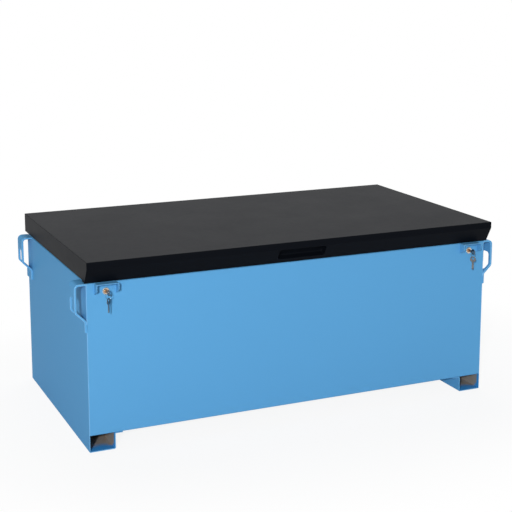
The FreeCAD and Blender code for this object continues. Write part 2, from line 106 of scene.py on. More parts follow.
class Leaf(Enum):
    """The hinge's two leaves, with the body that each one rides on."""

    BODY = "box"
    LID = "lid"


class FoldPlane(Enum):
    """The plane that a fold path is drawn in; the sheet runs along the axis that is left."""

    XZ = "xz"
    YZ = "yz"

    def place(self, bent: Vector, along: float) -> Vector:
        """Give the place of a point of the plane at a distance along the sheet's run."""
        return Vector((bent.x, along, bent.y) if self is FoldPlane.XZ else (along, bent.x, bent.y))


class Coat(IntEnum):
    """Material numbers of a painted sheet."""

    FACE = 0
    EDGE = 1
    BARE = 2


class Affect(Enum):
    """What a rounding is laid on, as the bevel operator writes it."""

    CORNERS = "VERTICES"
    EDGES = "EDGES"


class Dress(Enum):
    """A piece's material slot in the record, then its finishes in order of material number."""

    BLUE = ("blue_paint", "blue", "blue_edge")
    PART_BARE = ("blue_paint", "blue", "blue_edge", "bare")
    WELD = ("blue_paint", "blue")
    BLACK = ("black_paint", "black")
    ZINC = ("zinc_steel", "zinc")
    NICKEL = ("nickel", "nickel")
    KEY = ("nickel", "key")
    BRASS = ("plug_brass", "brass")
    RUBBER = ("seal_rubber", "rubber")


class Socket:
    """A shader socket that takes part in arithmetic."""

    def __init__(self, shader: "Shader", socket: bpy.types.NodeSocket) -> None:
        """Wrap one output socket of a shader."""
        self.shader = shader
        self.socket = socket

    def _maths(self, operation: str, first: Operand, second: Operand) -> "Socket":
        """Add a Math node that combines two values."""
        node = self.shader.add("ShaderNodeMath", {"operation": operation}, {0: first, 1: second})
        return Socket(self.shader, node.outputs[0])

    def __add__(self, other: Operand) -> "Socket":
        """Add a value."""
        return self._maths("ADD", self, other)

    __radd__ = __add__

    def __sub__(self, other: Operand) -> "Socket":
        """Take a value away."""
        return self._maths("SUBTRACT", self, other)

    def __rsub__(self, other: Operand) -> "Socket":
        """Take this from a value."""
        return self._maths("SUBTRACT", other, self)

    def __mul__(self, other: Operand) -> "Socket":
        """Multiply by a value."""
        return self._maths("MULTIPLY", self, other)

    __rmul__ = __mul__

    def __truediv__(self, other: Operand) -> "Socket":
        """Divide by a value."""
        return self._maths("DIVIDE", self, other)

    def __rtruediv__(self, other: Operand) -> "Socket":
        """Divide a value by this."""
        return self._maths("DIVIDE", other, self)

    def __abs__(self) -> "Socket":
        """Drop the sign."""
        return self._maths("ABSOLUTE", self, 0.0)

    def sway(self, amount: float) -> "Socket":
        """Turn a pattern of 0 to 1 into a change of either sign, of this amount in all."""
        return (self - 0.5) * amount

    def between(self, low: float, high: float) -> "Socket":
        """Rise smoothly from 0 to 1.

        Args:
            low: Value below which the result is 0.
            high: Value above which the result is 1.

        Returns:
            The eased share.
        """
        limits = {"Value": self, "From Min": low, "From Max": high}
        node = self.shader.add("ShaderNodeMapRange", {"interpolation_type": "SMOOTHSTEP"}, limits)
        return Socket(self.shader, node.outputs["Result"])


@dataclass(frozen=True)
class Pattern:
    """A cloudy pattern: its features in a metre, its finer layers and its scale along each axis."""

    scale: float
    detail: float = 2.0
    stretch: Triple = (1.0, 1.0, 1.0)


class Shader:
    """The nodes of one material or world."""

    # A Mix node has sockets for each kind of data, and these are the numbers of those for colours
    MIX_COLOURS = (6, 7)
    MIX_RESULT = 2

    def __init__(self, owner: Owner, output: str = "ShaderNodeOutputMaterial") -> None:
        """Start with an empty node tree.

        Args:
            owner: The material or world that the nodes belong to.
            output: Type of its output node.
        """
        owner.use_nodes = True
        self.owner = owner
        self.tree = owner.node_tree
        self.tree.nodes.clear()
        self.output = self.add(output, {}, {})

    def add(self, kind: str, settings: dict[str, Any], inputs: Inputs) -> bpy.types.Node:
        """Make a node.

        Args:
            kind: The node's type.
            settings: Attributes, which are set first.
            inputs: Values or links of the node's sockets, by name or number.

        Returns:
            The new node.
        """
        node = self.tree.nodes.new(kind)
        for key, value in settings.items():
            setattr(node, key, value)
        for key, value in inputs.items():
            source = value.socket if isinstance(value, Socket) else value
            if isinstance(source, bpy.types.NodeSocket):
                self.tree.links.new(source, node.inputs[key])
            else:
                node.inputs[key].default_value = source
        return node

    def show(self, node: bpy.types.Node) -> None:
        """Send a surface or background node to the output."""
        self.tree.links.new(node.outputs[0], self.output.inputs[0])

    def seen(self) -> Socket:
        """Tell the camera's view and reflections from the light that falls on things.

        Returns:
            1 for a camera, glossy or transmission ray, and 0 for any other.
        """
        rays = self.add("ShaderNodeLightPath", {}, {}).outputs
        kinds = ("Camera", "Glossy", "Transmission")
        camera, glossy, through = (Socket(self, rays[f"Is {kind} Ray"]) for kind in kinds)
        return (camera + glossy + through).between(0.0, 1.0)

    def coordinates(self) -> bpy.types.NodeSocket:
        """Give the piece's own coordinates, in metres."""
        return self.add("ShaderNodeTexCoord", {}, {}).outputs["Object"]

    def axes(self) -> list[Socket]:
        """Split the piece's coordinates into X, Y and Z."""
        node = self.add("ShaderNodeSeparateXYZ", {}, {0: self.coordinates()})
        return [Socket(self, output) for output in node.outputs]

    def noise(self, pattern: Pattern) -> Socket:
        """Lay a cloudy pattern over the piece.

        Args:
            pattern: The pattern's scale, detail and stretch.

        Returns:
            The pattern's value, about 0.5 on average.
        """
        place = {"Vector": self.coordinates(), "Scale": pattern.stretch}
        mapped = self.add("ShaderNodeMapping", {}, place)
        inputs = {"Vector": mapped.outputs[0], "Scale": pattern.scale, "Detail": pattern.detail}
        return Socket(self, self.add("ShaderNodeTexNoise", {}, inputs).outputs[0])

    def mix(self, share: Socket, first: Colour, second: Colour) -> bpy.types.NodeSocket:
        """Mix two colours.

        Args:
            share: How much of the second colour there is.
            first: A colour or a link.
            second: A colour or a link.

        Returns:
            The mixed colour's socket.
        """
        pair = (first, second)
        colours = [(*colour, 1.0) if isinstance(colour, tuple) else colour for colour in pair]
        inputs = {0: share, **dict(zip(self.MIX_COLOURS, colours))}
        return self.add("ShaderNodeMix", {"data_type": "RGBA"}, inputs).outputs[self.MIX_RESULT]

    def bump(self, height: Socket, depth: float) -> bpy.types.NodeSocket:
        """Turn a height pattern of 0 to 1, of a depth in metres, into a bent normal."""
        inputs = {"Height": height, "Distance": depth, "Strength": 1.0}
        return self.add("ShaderNodeBump", {}, inputs).outputs[0]

    def principled(self, inputs: Inputs) -> Material:
        """Finish the material with one Principled surface and give it back."""
        self.show(self.add("ShaderNodeBsdfPrincipled", {}, inputs))
        return self.owner


@dataclass(frozen=True)
class PowderCoat:
    """Baked powder paint on steel: faint orange peel, soft colour drift and a haze of handling."""

    name: str
    colour: Triple
    shade: Triple
    roughness: float
    specular: float
    peel: Pattern
    peel_depth: float
    drift: Pattern = Pattern(1.7, 3.0)
    speck: Pattern = Pattern(60.0, 4.0)
    speck_share: float = 0.3
    speck_roughness: float = 0.04
    haze: Pattern = Pattern(5.0, 6.0, (1.0, 1.0, 2.5))
    haze_roughness: float = 0.08

    def build(self) -> Material:
        """Make the paint.

        Returns:
            The material.
        """
        shader = Shader(bpy.data.materials.new(self.name))
        drift = shader.noise(self.drift)
        speck = shader.noise(self.speck)
        haze = shader.noise(self.haze)
        share = drift * (1.0 - self.speck_share) + speck * self.speck_share
        uneven = haze.sway(self.haze_roughness) + speck.sway(self.speck_roughness)
        return shader.principled(
            {
                "Base Color": shader.mix(share, self.shade, self.colour),
                "Roughness": self.roughness + uneven,
                "Specular IOR Level": self.specular,
                "Normal": shader.bump(shader.noise(self.peel), self.peel_depth),
            }
        )


@dataclass(frozen=True)
class BareSteel:
    """Mill-finish steel inside the skids, browned by age, with paint blown in at the mouths."""

    name: str
    colour: Triple
    rust: Triple
    overspray: Triple
    middle: Point
    half_depth: float
    half_width: float
    sole: Point = (4 * MM, 20 * MM)
    wall_reach: float = 16 * MM
    sole_reach: float = 60 * MM
    sole_tongue: float = 0.65
    ragged: float = 12 * MM
    feather: Point = (0.45, 1.1)
    stain: Pattern = Pattern(38.0, 6.0)
    stain_depth: float = 0.2 * MM
    stain_roughness: float = 0.3
    cloud: Pattern = Pattern(9.0, 4.0)
    cloud_share: float = 0.4
    browning: Point = (0.42, 0.66)
    roughness: float = 0.55
    metallic: float = 0.2

    def build(self) -> Material:
        """Make the bare steel.

        Returns:
            The material.
        """
        shader = Shader(bpy.data.materials.new(self.name))
        across, along, height = shader.axes()
        stain = shader.noise(self.stain)
        cloud = shader.noise(self.cloud)
        blotch = stain * (1.0 - self.cloud_share) + cloud * self.cloud_share
        brown = blotch.between(*self.browning)
        # The paint reaches furthest along the sole, in a tongue down the channel's middle
        aside = (abs(across) - self.middle[0]) / self.half_width
        tongue = 1.0 - aside * aside * self.sole_tongue
        on_sole = 1.0 - height.between(*self.sole)
        reach = self.wall_reach + on_sole * tongue * (self.sole_reach - self.wall_reach)
        inwards = self.half_depth - abs(along - self.middle[1]) + stain.sway(self.ragged)
        spray = 1.0 - (inwards / reach).between(*self.feather)
        steel = shader.mix(brown, self.colour, self.rust)
        return shader.principled(
            {
                "Base Color": shader.mix(spray, steel, self.overspray),
                "Roughness": self.roughness + stain.sway(self.stain_roughness),
                "Metallic": self.metallic - spray * self.metallic,
                "Normal": shader.bump(stain, self.stain_depth),
            }
        )


@dataclass(frozen=True)
class PlatedMetal:
    """Plated or polished metal with fine drawn lines and a little tarnish."""

    name: str
    colour: Triple
    tarnish: Triple
    roughness: float
    lines: Pattern = Pattern(400.0, 3.0, (1.0, 0.2, 1.0))
    line_depth: float = 0.005 * MM
    line_roughness: float = 0.14
    cloud: Pattern = Pattern(55.0, 4.0)
    cloud_roughness: float = 0.1
    tarnishing: Point = (0.45, 0.75)

    def build(self) -> Material:
        """Make the metal.

        Returns:
            The material.
        """
        shader = Shader(bpy.data.materials.new(self.name))
        lines = shader.noise(self.lines)
        cloud = shader.noise(self.cloud)
        uneven = lines.sway(self.line_roughness) + cloud.sway(self.cloud_roughness)
        tarnished = cloud.between(*self.tarnishing)
        return shader.principled(
            {
                "Base Color": shader.mix(tarnished, self.colour, self.tarnish),
                "Roughness": self.roughness + uneven,
                "Metallic": 1.0,
                "Normal": shader.bump(lines, self.line_depth),
            }
        )


@dataclass(frozen=True)
class FoamRubber:
    """Closed-cell black rubber strip with a pitted and dusty skin."""

    name: str
    colour: Triple
    dust: Triple
    film: Pattern = Pattern(14.0, 5.0)
    film_share: float = 0.4
    filming: Point = (0.5, 0.8)
    pits: Pattern = Pattern(900.0, 3.0)
    pit_depth: float = 0.3 * MM
    pit_roughness: float = 0.15
    roughness: float = 0.85
    specular: float = 0.25

    def build(self) -> Material:
        """Make the rubber.

        Returns:
            The material.
        """
        shader = Shader(bpy.data.materials.new(self.name))
        pits = shader.noise(self.pits)
        film = shader.noise(self.film).between(*self.filming)
        return shader.principled(
            {
                "Base Color": shader.mix(film * self.film_share, self.colour, self.dust),
                "Roughness": self.roughness + pits.sway(self.pit_roughness),
                "Specular IOR Level": self.specular,
                "Normal": shader.bump(pits, self.pit_depth),
            }
        )


@dataclass(frozen=True)
class Stock:
    """Sheet to cut from: its thickness, its edges' rounding and the inside radius of its bends."""

    thickness: float
    soft: float
    bend: float = 0.0
    soft_steps: int = 2
    edge: Coat = Coat.FACE


@dataclass(frozen=True)
class Hole:
    """A round hole: a point on its axis, its radius and the number of edges round it."""

    point: Vector
    radius: float
    steps: int


@dataclass(frozen=True)
class Stretch:
    """A straight or round stretch of a fold path."""

    start: Vector
    heading: float
    length: float
    curve: float = 0.0

    def at(self, distance: float) -> tuple[Vector, Vector]:
        """Find a point of the stretch.

        Args:
            distance: How far along the stretch it is.

        Returns:
            The point and the unit normal to its left.
        """
        ahead = Vector((math.cos(self.heading), math.sin(self.heading)))
        left = Vector((-ahead.y, ahead.x))
        if not self.curve:
            return self.start + ahead * distance, left
        turn = self.curve * distance
        step = ahead * math.sin(turn) + left * (1 - math.cos(turn))
        return self.start + step / self.curve, left * math.cos(turn) - ahead * math.sin(turn)


class FoldPath:
    """A line through corner points with rounded bends; the sheet's thickness lies to its left."""

    SCORE_STEP = math.radians(15)
    LEAST_SCORES = 2

    def __init__(self, corners: Sequence[Point], stock: Stock, plane: FoldPlane) -> None:
        """Lay out the path's straight and round stretches.

        Args:
            corners: The corner points in the fold plane.
            stock: The sheet that is folded.
            plane: The plane that the path is drawn in.
        """
        self.stock = stock
        self.plane = plane
        self.stretches: list[Stretch] = []
        self.legs: list[int] = []
        points = [Vector(corner) for corner in corners]
        here = points[0]
        for i in range(1, len(points)):
            run = points[i] - points[i - 1]
            heading = math.atan2(run.y, run.x)
            radius = turn = cut = 0.0
            if i < len(points) - 1:
                turn = -run.angle_signed(points[i + 1] - points[i])
                # The sheet lies to the left, so in a left turn the path is on the bend's outside
                radius = stock.bend + stock.thickness if turn > 0 else stock.bend
                cut = radius * math.tan(abs(turn) / 2)
            end = points[i] - run.normalized() * cut
            self.legs.append(len(self.stretches))
            self.stretches.append(Stretch(here, heading, (end - here).length))
            here = end
            if turn:
                arc = Stretch(here, heading, radius * abs(turn), math.copysign(1 / radius, turn))
                self.stretches.append(arc)
                here = arc.at(arc.length)[0]

    @property
    def length(self) -> float:
        """The path's whole length."""
        return sum(stretch.length for stretch in self.stretches)

    def place(self, distance: float, along: float, depth: float) -> Vector:
        """Bend one point of the flat sheet round the path.

        Args:
            distance: How far along the path the point is.
            along: Its place along the sheet's run.
            depth: Its depth in the sheet.

        Returns:
            The bent point.
        """
        for stretch in self.stretches[:-1]:
            if distance <= stretch.length:
                break
            distance -= stretch.length
        else:
            stretch = self.stretches[-1]
        point, left = stretch.at(distance)
        return self.plane.place(point + left * depth, along)

    def find(self, leg: int, height: float) -> float:
        """Find where a straight leg reaches a height.

        Args:
            leg: Number of the straight leg, from 0.
            height: The second coordinate in the fold plane.

        Returns:
            The distance along the path.
        """
        number = self.legs[leg]
        stretch = self.stretches[number]
        before = sum(earlier.length for earlier in self.stretches[:number])
        return before + (height - stretch.start.y) / math.sin(stretch.heading)

    def scores(self) -> list[float]:
        """Divide the bends so that they come out round.

        Returns:
            The distances along the path where the sheet is divided.
        """
        marks: list[float] = []
        done = 0.0
        for stretch in self.stretches:
            if stretch.curve:
                turn = abs(stretch.curve) * stretch.length
                steps = max(self.LEAST_SCORES, math.ceil(turn / self.SCORE_STEP))
                marks += [done + stretch.length * i / steps for i in range(steps + 1)]
            done += stretch.length
        return marks


def rectangle(low: Point, high: Point) -> list[Point]:
    """Give the corners of a rectangle."""
    return [low, (high[0], low[1]), high, (low[0], high[1])]


def on_circle(radius: float, angles: Iterable[float]) -> list[Point]:
    """Give the points of a circle about 0 at these angles."""
    return [(radius * math.cos(angle), radius * math.sin(angle)) for angle in angles]


def vertices_of(geometry: Iterable[object]) -> list[bmesh.types.BMVert]:
    """Pick the vertices out of what an operator made."""
    return [part for part in geometry if isinstance(part, bmesh.types.BMVert)]


def rounded(
    mesh: Mesh, parts: Sequence[Any], affect: Affect, width: float, steps: int, clamp: bool = False
) -> list[bmesh.types.BMFace]:
    """Round corners or edges.

    Args:
        mesh: The mesh.
        parts: The vertices or edges to round.
        affect: Which of the two they are.
        width: Width of the rounding.
        steps: Number of divisions across it.
        clamp: Whether it stops where two roundings meet.

    Returns:
        The new faces.
    """
    return bmesh.ops.bevel(
        mesh,
        geom=parts,
        offset=width,
        offset_type="OFFSET",
        affect=affect.value,
        segments=steps,
        profile=0.5,
        material=-1,
        clamp_overlap=clamp,
    )["faces"]


class Blank:
    """A flat sheet that is cut out, pierced, thickened, softened at its edges and folded."""

    CORNER_STEPS = 6
    # A cut takes points nearer than this as lying on it
    CUT_REACH = 1e-7

    def __init__(self, outline: Sequence[Point], corner: float = 0.0) -> None:
        """Cut the outline.

        Args:
            outline: Corner points of the flat sheet.
            corner: Radius that the corners are rounded to.
        """
        self.mesh = bmesh.new()
        self.pierced = False
        self._loop(outline, corner)

    @classmethod
    def along(cls, path: FoldPath, start: float, stop: float) -> "Blank":
        """Cut a plain blank for a path, from one place along the sheet's run to another."""
        return cls(rectangle((0.0, start), (path.length, stop)))

    def _loop(self, outline: Sequence[Point], corner: float) -> None:
        """Add one closed loop of edges, its corners rounded.

        Args:
            outline: Corner points.
            corner: Radius of the corners.
        """
        corners = [self.mesh.verts.new((*point, 0.0)) for point in outline]
        self.mesh.faces.new(corners)
        if corner:
            rounded(self.mesh, corners, Affect.CORNERS, corner, self.CORNER_STEPS)

    def slot(self, low: Point, high: Point, corner: float) -> None:
        """Pierce a rectangle with rounded corners."""
        self._loop(rectangle(low, high), corner)
        self.pierced = True

    def hole(self, middle: Point, radius: float, steps: int = 32) -> "Blank":
        """Pierce a round hole.

        Args:
            middle: Its centre in the flat sheet.
            radius: Its radius.
            steps: Number of edges round it.

        Returns:
            The blank, so that calls can follow each other.
        """
        matrix = Matrix.Translation((*middle, 0.0))
        bmesh.ops.create_circle(
            self.mesh, cap_ends=True, segments=steps, radius=radius, matrix=matrix
        )
        self.pierced = True
        return self

    def thicken(self, stock: Stock) -> "Blank":
        """Give the sheet its thickness and round its edges a little.

        Args:
            stock: The sheet that the blank is cut from.

        Returns:
            The blank, so that calls can follow each other.
        """
        mesh = self.mesh
        if self.pierced:
            # Filled again between its loops, the sheet has them as holes
            bmesh.ops.delete(mesh, geom=mesh.faces[:], context="FACES_ONLY")
            bmesh.ops.triangle_fill(mesh, use_beauty=True, use_dissolve=False, edges=mesh.edges[:])
        grown = bmesh.ops.extrude_face_region(mesh, geom=mesh.faces[:], use_keep_orig=True)["geom"]
        bmesh.ops.translate(mesh, verts=vertices_of(grown), vec=(0.0, 0.0, stock.thickness))
        bmesh.ops.recalc_face_normals(mesh, faces=mesh.faces[:])
        rims = [edge for edge in mesh.edges if len(edge.link_faces) == 2 and self._is_rim(edge)]
        # The rounding takes the stock's edge material, which on painted sheets is a lighter blue as
        # a painted highlight
        for face in rounded(mesh, rims, Affect.EDGES, stock.soft, stock.soft_steps, clamp=True):
            face.material_index = stock.edge
        return self

    @staticmethod
    def _is_rim(edge: bmesh.types.BMEdge) -> bool:
        """Tell whether an edge divides a broad face from a cut edge."""
        broad = [abs(face.normal.z) > FACING for face in edge.link_faces]
        return broad[0] != broad[1]

    def fold(self, path: FoldPath, marks: Sequence[float] = ()) -> Mesh:
        """Thicken the sheet and fold it along a path.

        Args:
            path: The fold path; the blank's first coordinate runs along it.
            marks: Other distances along the path where the sheet is divided.

        Returns:
            The folded mesh.
        """
        mesh = self.thicken(path.stock).mesh
        for mark in [*marks, *path.scores()]:
            everything = mesh.verts[:] + mesh.edges[:] + mesh.faces[:]
            cut = {"plane_co": (mark, 0.0, 0.0), "plane_no": (1.0, 0.0, 0.0)}
            bmesh.ops.bisect_plane(mesh, geom=everything, dist=self.CUT_REACH, **cut)
        return self.put(path.place)

    def put(self, place: Place) -> Mesh:
        """Move every point of the flat sheet to its place.

        Args:
            place: Gives the place of a point from its two flat coordinates and its depth.

        Returns:
            The mesh in its place.
        """
        for vertex in self.mesh.verts:
            vertex.co = place(*vertex.co)
        self.mesh.normal_update()
        bmesh.ops.recalc_face_normals(self.mesh, faces=self.mesh.faces[:])
        return self.mesh


def turned(profile: Sequence[Point], origin: Vector, axis: Vector, steps: int = 48) -> Mesh:
    """Turn a profile about an axis, as on a lathe.

    Args:
        profile: Pairs of radius and distance along the axis.
        origin: A point on the axis, where the distance is 0.
        axis: The axis, a unit vector.
        steps: Number of faces round the axis.

    Returns:
        The turned mesh.
    """
    mesh = bmesh.new()
    out = axis.orthogonal().normalized()
    vertices = [mesh.verts.new(origin + out * radius + axis * along) for radius, along in profile]
    edges = [mesh.edges.new(pair) for pair in zip(vertices, vertices[1:])]
    circle = {"cent": origin, "axis": axis, "angle": math.tau}
    bmesh.ops.spin(mesh, geom=vertices + edges, steps=steps, use_merge=True, **circle)
    bmesh.ops.remove_doubles(mesh, verts=mesh.verts[:], dist=MERGE)
    bmesh.ops.recalc_face_normals(mesh, faces=mesh.faces[:])
    return mesh


def joined(meshes: Iterable[Mesh]) -> Mesh:
    """Gather several meshes into one.

    Args:
        meshes: The meshes, which are used up.

    Returns:
        One mesh that holds them all.
    """
    whole = bmesh.new()
    for mesh in meshes:
        data = bpy.data.meshes.new("gathered")
        mesh.to_mesh(data)
        mesh.free()
        whole.from_mesh(data)
        bpy.data.meshes.remove(data)
    return whole


def sided(mesh: Mesh, side: Side) -> Mesh:
    """Keep a right-hand mesh, or mirror it for the left.

    Args:
        mesh: The right-hand mesh.
        side: The end of the box that it is for.

    Returns:
        The same mesh.
    """
    if side is Side.LEFT:
        bmesh.ops.scale(mesh, vec=(-1.0, 1.0, 1.0), verts=mesh.verts[:])
        bmesh.ops.recalc_face_normals(mesh, faces=mesh.faces[:])
    return mesh


def in_scene(name: str, data: bpy.types.ID) -> bpy.types.Object:
    """Put a new object in the scene.

    Args:
        name: The object's name.
        data: Its mesh, lamp or camera.

    Returns:
        The object.
    """
    thing = bpy.data.objects.new(name, data)
    bpy.context.scene.collection.objects.link(thing)
    return thing


@dataclass
class Workshop:
    """Makes finished pieces: rides them on their bodies and hides the nodes that they stand for."""

    materials: dict[str, Material]
    smooth_angle: float = math.radians(50)
    broad_weight: int = 100

    def finish(self, name: str, mesh: Mesh, body: str, dress: Dress, *nodes: str) -> None:
        """Turn a mesh into a piece of the box.

        Args:
            name: The piece's name.
            mesh: Its mesh, which is used up.
            body: The body that it rides on.
            dress: Its material slot and finishes.
            nodes: The nodes that it stands for.
        """
        for face in mesh.faces:
            face.smooth = True
        for edge in mesh.edges:
            gentle = edge.calc_face_angle(0.0) < self.smooth_angle
            edge.smooth = gentle and len(edge.link_faces) == 2
        data = bpy.data.meshes.new(name)
        mesh.to_mesh(data)
        mesh.free()
        slot, *finishes = dress.value
        for finish in finishes:
            data.materials.append(self.materials[finish])
        piece = in_scene(name, data)
        normals = piece.modifiers.new("even_normals", "WEIGHTED_NORMAL")
        normals.keep_sharp = True
        normals.weight = self.broad_weight
        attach(piece, body)
        if nodes:
            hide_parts(*nodes)
        LOG.info("%s: %d faces on %s", name, len(data.polygons), body)

    def dress(self, frame: dict[str, Any], nodes: Iterable[str], finish: str) -> None:
        """Give carried-over nodes a finish.

        Args:
            frame: The loaded frame.
            nodes: The nodes' names.
            finish: Name of the material.
        """
        for node in nodes:
            data = frame["nodes"][node].data
            data.materials.clear()
            data.materials.append(self.materials[finish])
            LOG.info("%s: dressed in %s", node, finish)


@dataclass
class Chest:
    """The welded body: front, rear and end sheets, and the skids."""

    workshop: Workshop
    locks: Sequence[Vector]
    rivets: Sequence[Hole]
    wall_stock: Stock = Stock(2 * MM, soft=0.45 * MM, bend=2 * MM, edge=Coat.EDGE)
    end_stock: Stock = Stock(2 * MM, soft=0.95 * MM, bend=2 * MM, soft_steps=3, edge=Coat.EDGE)
    skid_stock: Stock = Stock(3 * MM, soft=0.45 * MM, bend=2 * MM, edge=Coat.EDGE)
    rim_flange: float = 22 * MM
    base_flange: float = 20 * MM
    lock_hole: float = 9.2 * MM
    lock_steps: int = 32

    def build(self) -> None:
        """Make every sheet of the chest."""
        self.wall(Wall.FRONT, [Hole(lock, self.lock_hole, self.lock_steps) for lock in self.locks])
        self.wall(Wall.REAR, self.rivets)
        for side in Side:
            self.end(side)
            self.skid(side)

    def wall(self, wall: Wall, holes: Iterable[Hole]) -> None:
        """Fold a long wall and pierce it.

        Args:
            wall: Which wall.
            holes: The holes through it.
        """
        node = wall.value + "_panel"
        low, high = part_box(node)
        face, inwards = (low.y, 1) if wall is Wall.FRONT else (high.y, -1)
        corners = [
            (face + inwards * self.rim_flange, high.z),
            (face, high.z),
            (face, low.z),
            (face + inwards * self.base_flange, low.z),
        ]
        path = FoldPath(corners[::inwards], self.wall_stock, FoldPlane.YZ)
        blank = Blank.along(path, low.x, high.x)
        for hole in holes:
            drop = path.find(leg=1, height=hole.point.z)
            blank.hole((drop, hole.point.x), hole.radius, hole.steps)
        self.workshop.finish("chest_" + wall.value, blank.fold(path), "box", Dress.BLUE, node)

    def end(self, side: Side) -> None:
        """Fold an end sheet; below the floor its inner face is bare.

        Args:
            side: Which end.
        """
        low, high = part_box("right_end_panel")
        flange = self.rim_flange
        corners = [(high.x, low.z), (high.x, high.z), (high.x - flange, high.z)]
        path = FoldPath(corners, self.end_stock, FoldPlane.XZ)
        # The rim flange is notched at both ends, where the long walls' flanges lie
        notch = path.length - flange + self.end_stock.thickness
        outline = [
            (0.0, low.y),
            (notch, low.y),
            (notch, low.y + flange),
            (path.length, low.y + flange),
            (path.length, high.y - flange),
            (notch, high.y - flange),
            (notch, high.y),
            (0.0, high.y),
        ]
        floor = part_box("floor_panel")[0].z
        mesh = Blank(outline).fold(path, [path.find(leg=0, height=floor)])
        for face in mesh.faces:
            if face.normal.x < -FACING and face.calc_center_median().z < floor:
                face.material_index = Coat.BARE
        name = side.value + "_end"
        sheet = sided(mesh, side)
        self.workshop.finish(name + "_sheet", sheet, "box", Dress.PART_BARE, name + "_panel")

    def skid(self, side: Side) -> None:
        """Fold a skid; the inside of its channel is bare.

        Args:
            side: Which end.
        """
        low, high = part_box("right_skid")
        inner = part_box("right_end_panel")[1].x - SKID_WIDTH
        top = high.z - self.skid_stock.thickness
        corners = [(low.x, top), (inner, top), (inner, low.z), (high.x, low.z)]
        path = FoldPath(corners, self.skid_stock, FoldPlane.XZ)
        mesh = Blank.along(path, low.y, high.y).fold(path)
        for face in mesh.faces:
            inside = face.normal.x > FACING or face.normal.z > FACING
            if inside and face.material_index == Coat.FACE and face.calc_center_median().z < top:
                face.material_index = Coat.BARE
        node = side.value + "_skid"
        self.workshop.finish(node + "_channel", sided(mesh, side), "box", Dress.PART_BARE, node)


@dataclass
class Handle:
    """A bent plate handle with a window for the hand, and the welds that hold it."""

    workshop: Workshop
    side: Side
    wall: Wall
    stock: Stock = Stock(6.5 * MM, soft=1.1 * MM, bend=9 * MM, soft_steps=3, edge=Coat.EDGE)
    drop: float = 95 * MM
    returned: float = 125 * MM
    window_side: float = 13 * MM
    window_top: float = 48 * MM
    window_bottom: float = 115 * MM
    window_corner: float = 10 * MM
    bead: float = 2.6 * MM
    bead_steps: int = 14
    ripple: float = 3.4 * MM
    ripple_shape: tuple[Point, Point] = ((0.82, 0.15), (1.0, 0.6))

    @property
    def span(self) -> tuple[Vector, Vector]:
        """The low and the high corner of this wall's handle at the right end."""
        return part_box(f"right_{self.wall.value}_handle")

    def build(self) -> None:
        """Make the plate and its welds."""
        node = f"{self.side.value}_{self.wall.value}_handle"
        plate, weld = (sided(mesh, self.side) for mesh in (self.plate(), self.weld()))
        self.workshop.finish(node + "_plate", plate, "box", Dress.BLUE, node)
        self.workshop.finish(node + "_weld", weld, "box", Dress.WELD)

    def plate(self) -> Mesh:
        """Fold the right-hand plate and pierce its window.

        Returns:
            The plate.
        """
        low, high = self.span
        tab = low.x + self.stock.thickness
        rim = high.z
        corners = [
            (tab, low.z),
            (tab, rim - self.returned),
            (high.x, rim - self.drop),
            (high.x, rim),
            (low.x, rim),
        ]
        path = FoldPath(corners, self.stock, FoldPlane.XZ)
        blank = Blank.along(path, low.y, high.y)
        bottom = path.find(leg=1, height=rim - self.window_bottom)
        top = path.find(leg=2, height=rim - self.window_top)
        start, stop = low.y + self.window_side, high.y - self.window_side
        blank.slot((bottom, start), (top, stop), self.window_corner)
        return blank.fold(path)

    def weld(self) -> Mesh:
        """Lay a rippled bead down both sides of the right-hand plate's tab and along its foot.

        Returns:
            The beads.
        """
        low, high = self.span
        top = high.z - self.returned - self.stock.bend
        line = ((low.y, top), (low.y, low.z), (high.y, low.z), (high.y, top))
        ends = [Vector((low.x, *point)) for point in line]
        beads = []
        for start, stop in zip(ends, ends[1:]):
            run = stop - start
            count = round(run.length / self.ripple)
            step = run.length / count
            profile = [(0.0, 0.0)]
            for i in range(count):
                for size, place in self.ripple_shape:
                    profile.append((self.bead * size, step * (i + place)))
            profile.append((0.0, run.length))
            beads.append(turned(profile, start, run.normalized(), self.bead_steps))
        return joined(beads)


@dataclass
class LockHood:
    """A folded canopy over a lock."""

    workshop: Workshop
    side: Side
    stock: Stock = Stock(2.5 * MM, soft=0.5 * MM, bend=2 * MM, edge=Coat.EDGE)
    front_drop: float = 23 * MM

    def build(self) -> None:
        """Fold the hood; its side edges slope back to the panel."""
        low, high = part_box("right_lock_hood")
        corners = [(high.x, low.z), (high.x, high.z), (low.x, high.z), (low.x, low.z)]
        path = FoldPath(corners, self.stock, FoldPlane.XZ)
        slope = high.z - low.z - self.front_drop
        far = path.length
        outline = [(0.0, high.y), (slope, low.y), (far - slope, low.y), (far, high.y)]
        mesh = sided(Blank(outline).fold(path), self.side)
        node = self.side.value + "_lock_hood"
        self.workshop.finish(node + "_canopy", mesh, "box", Dress.BLUE, node)


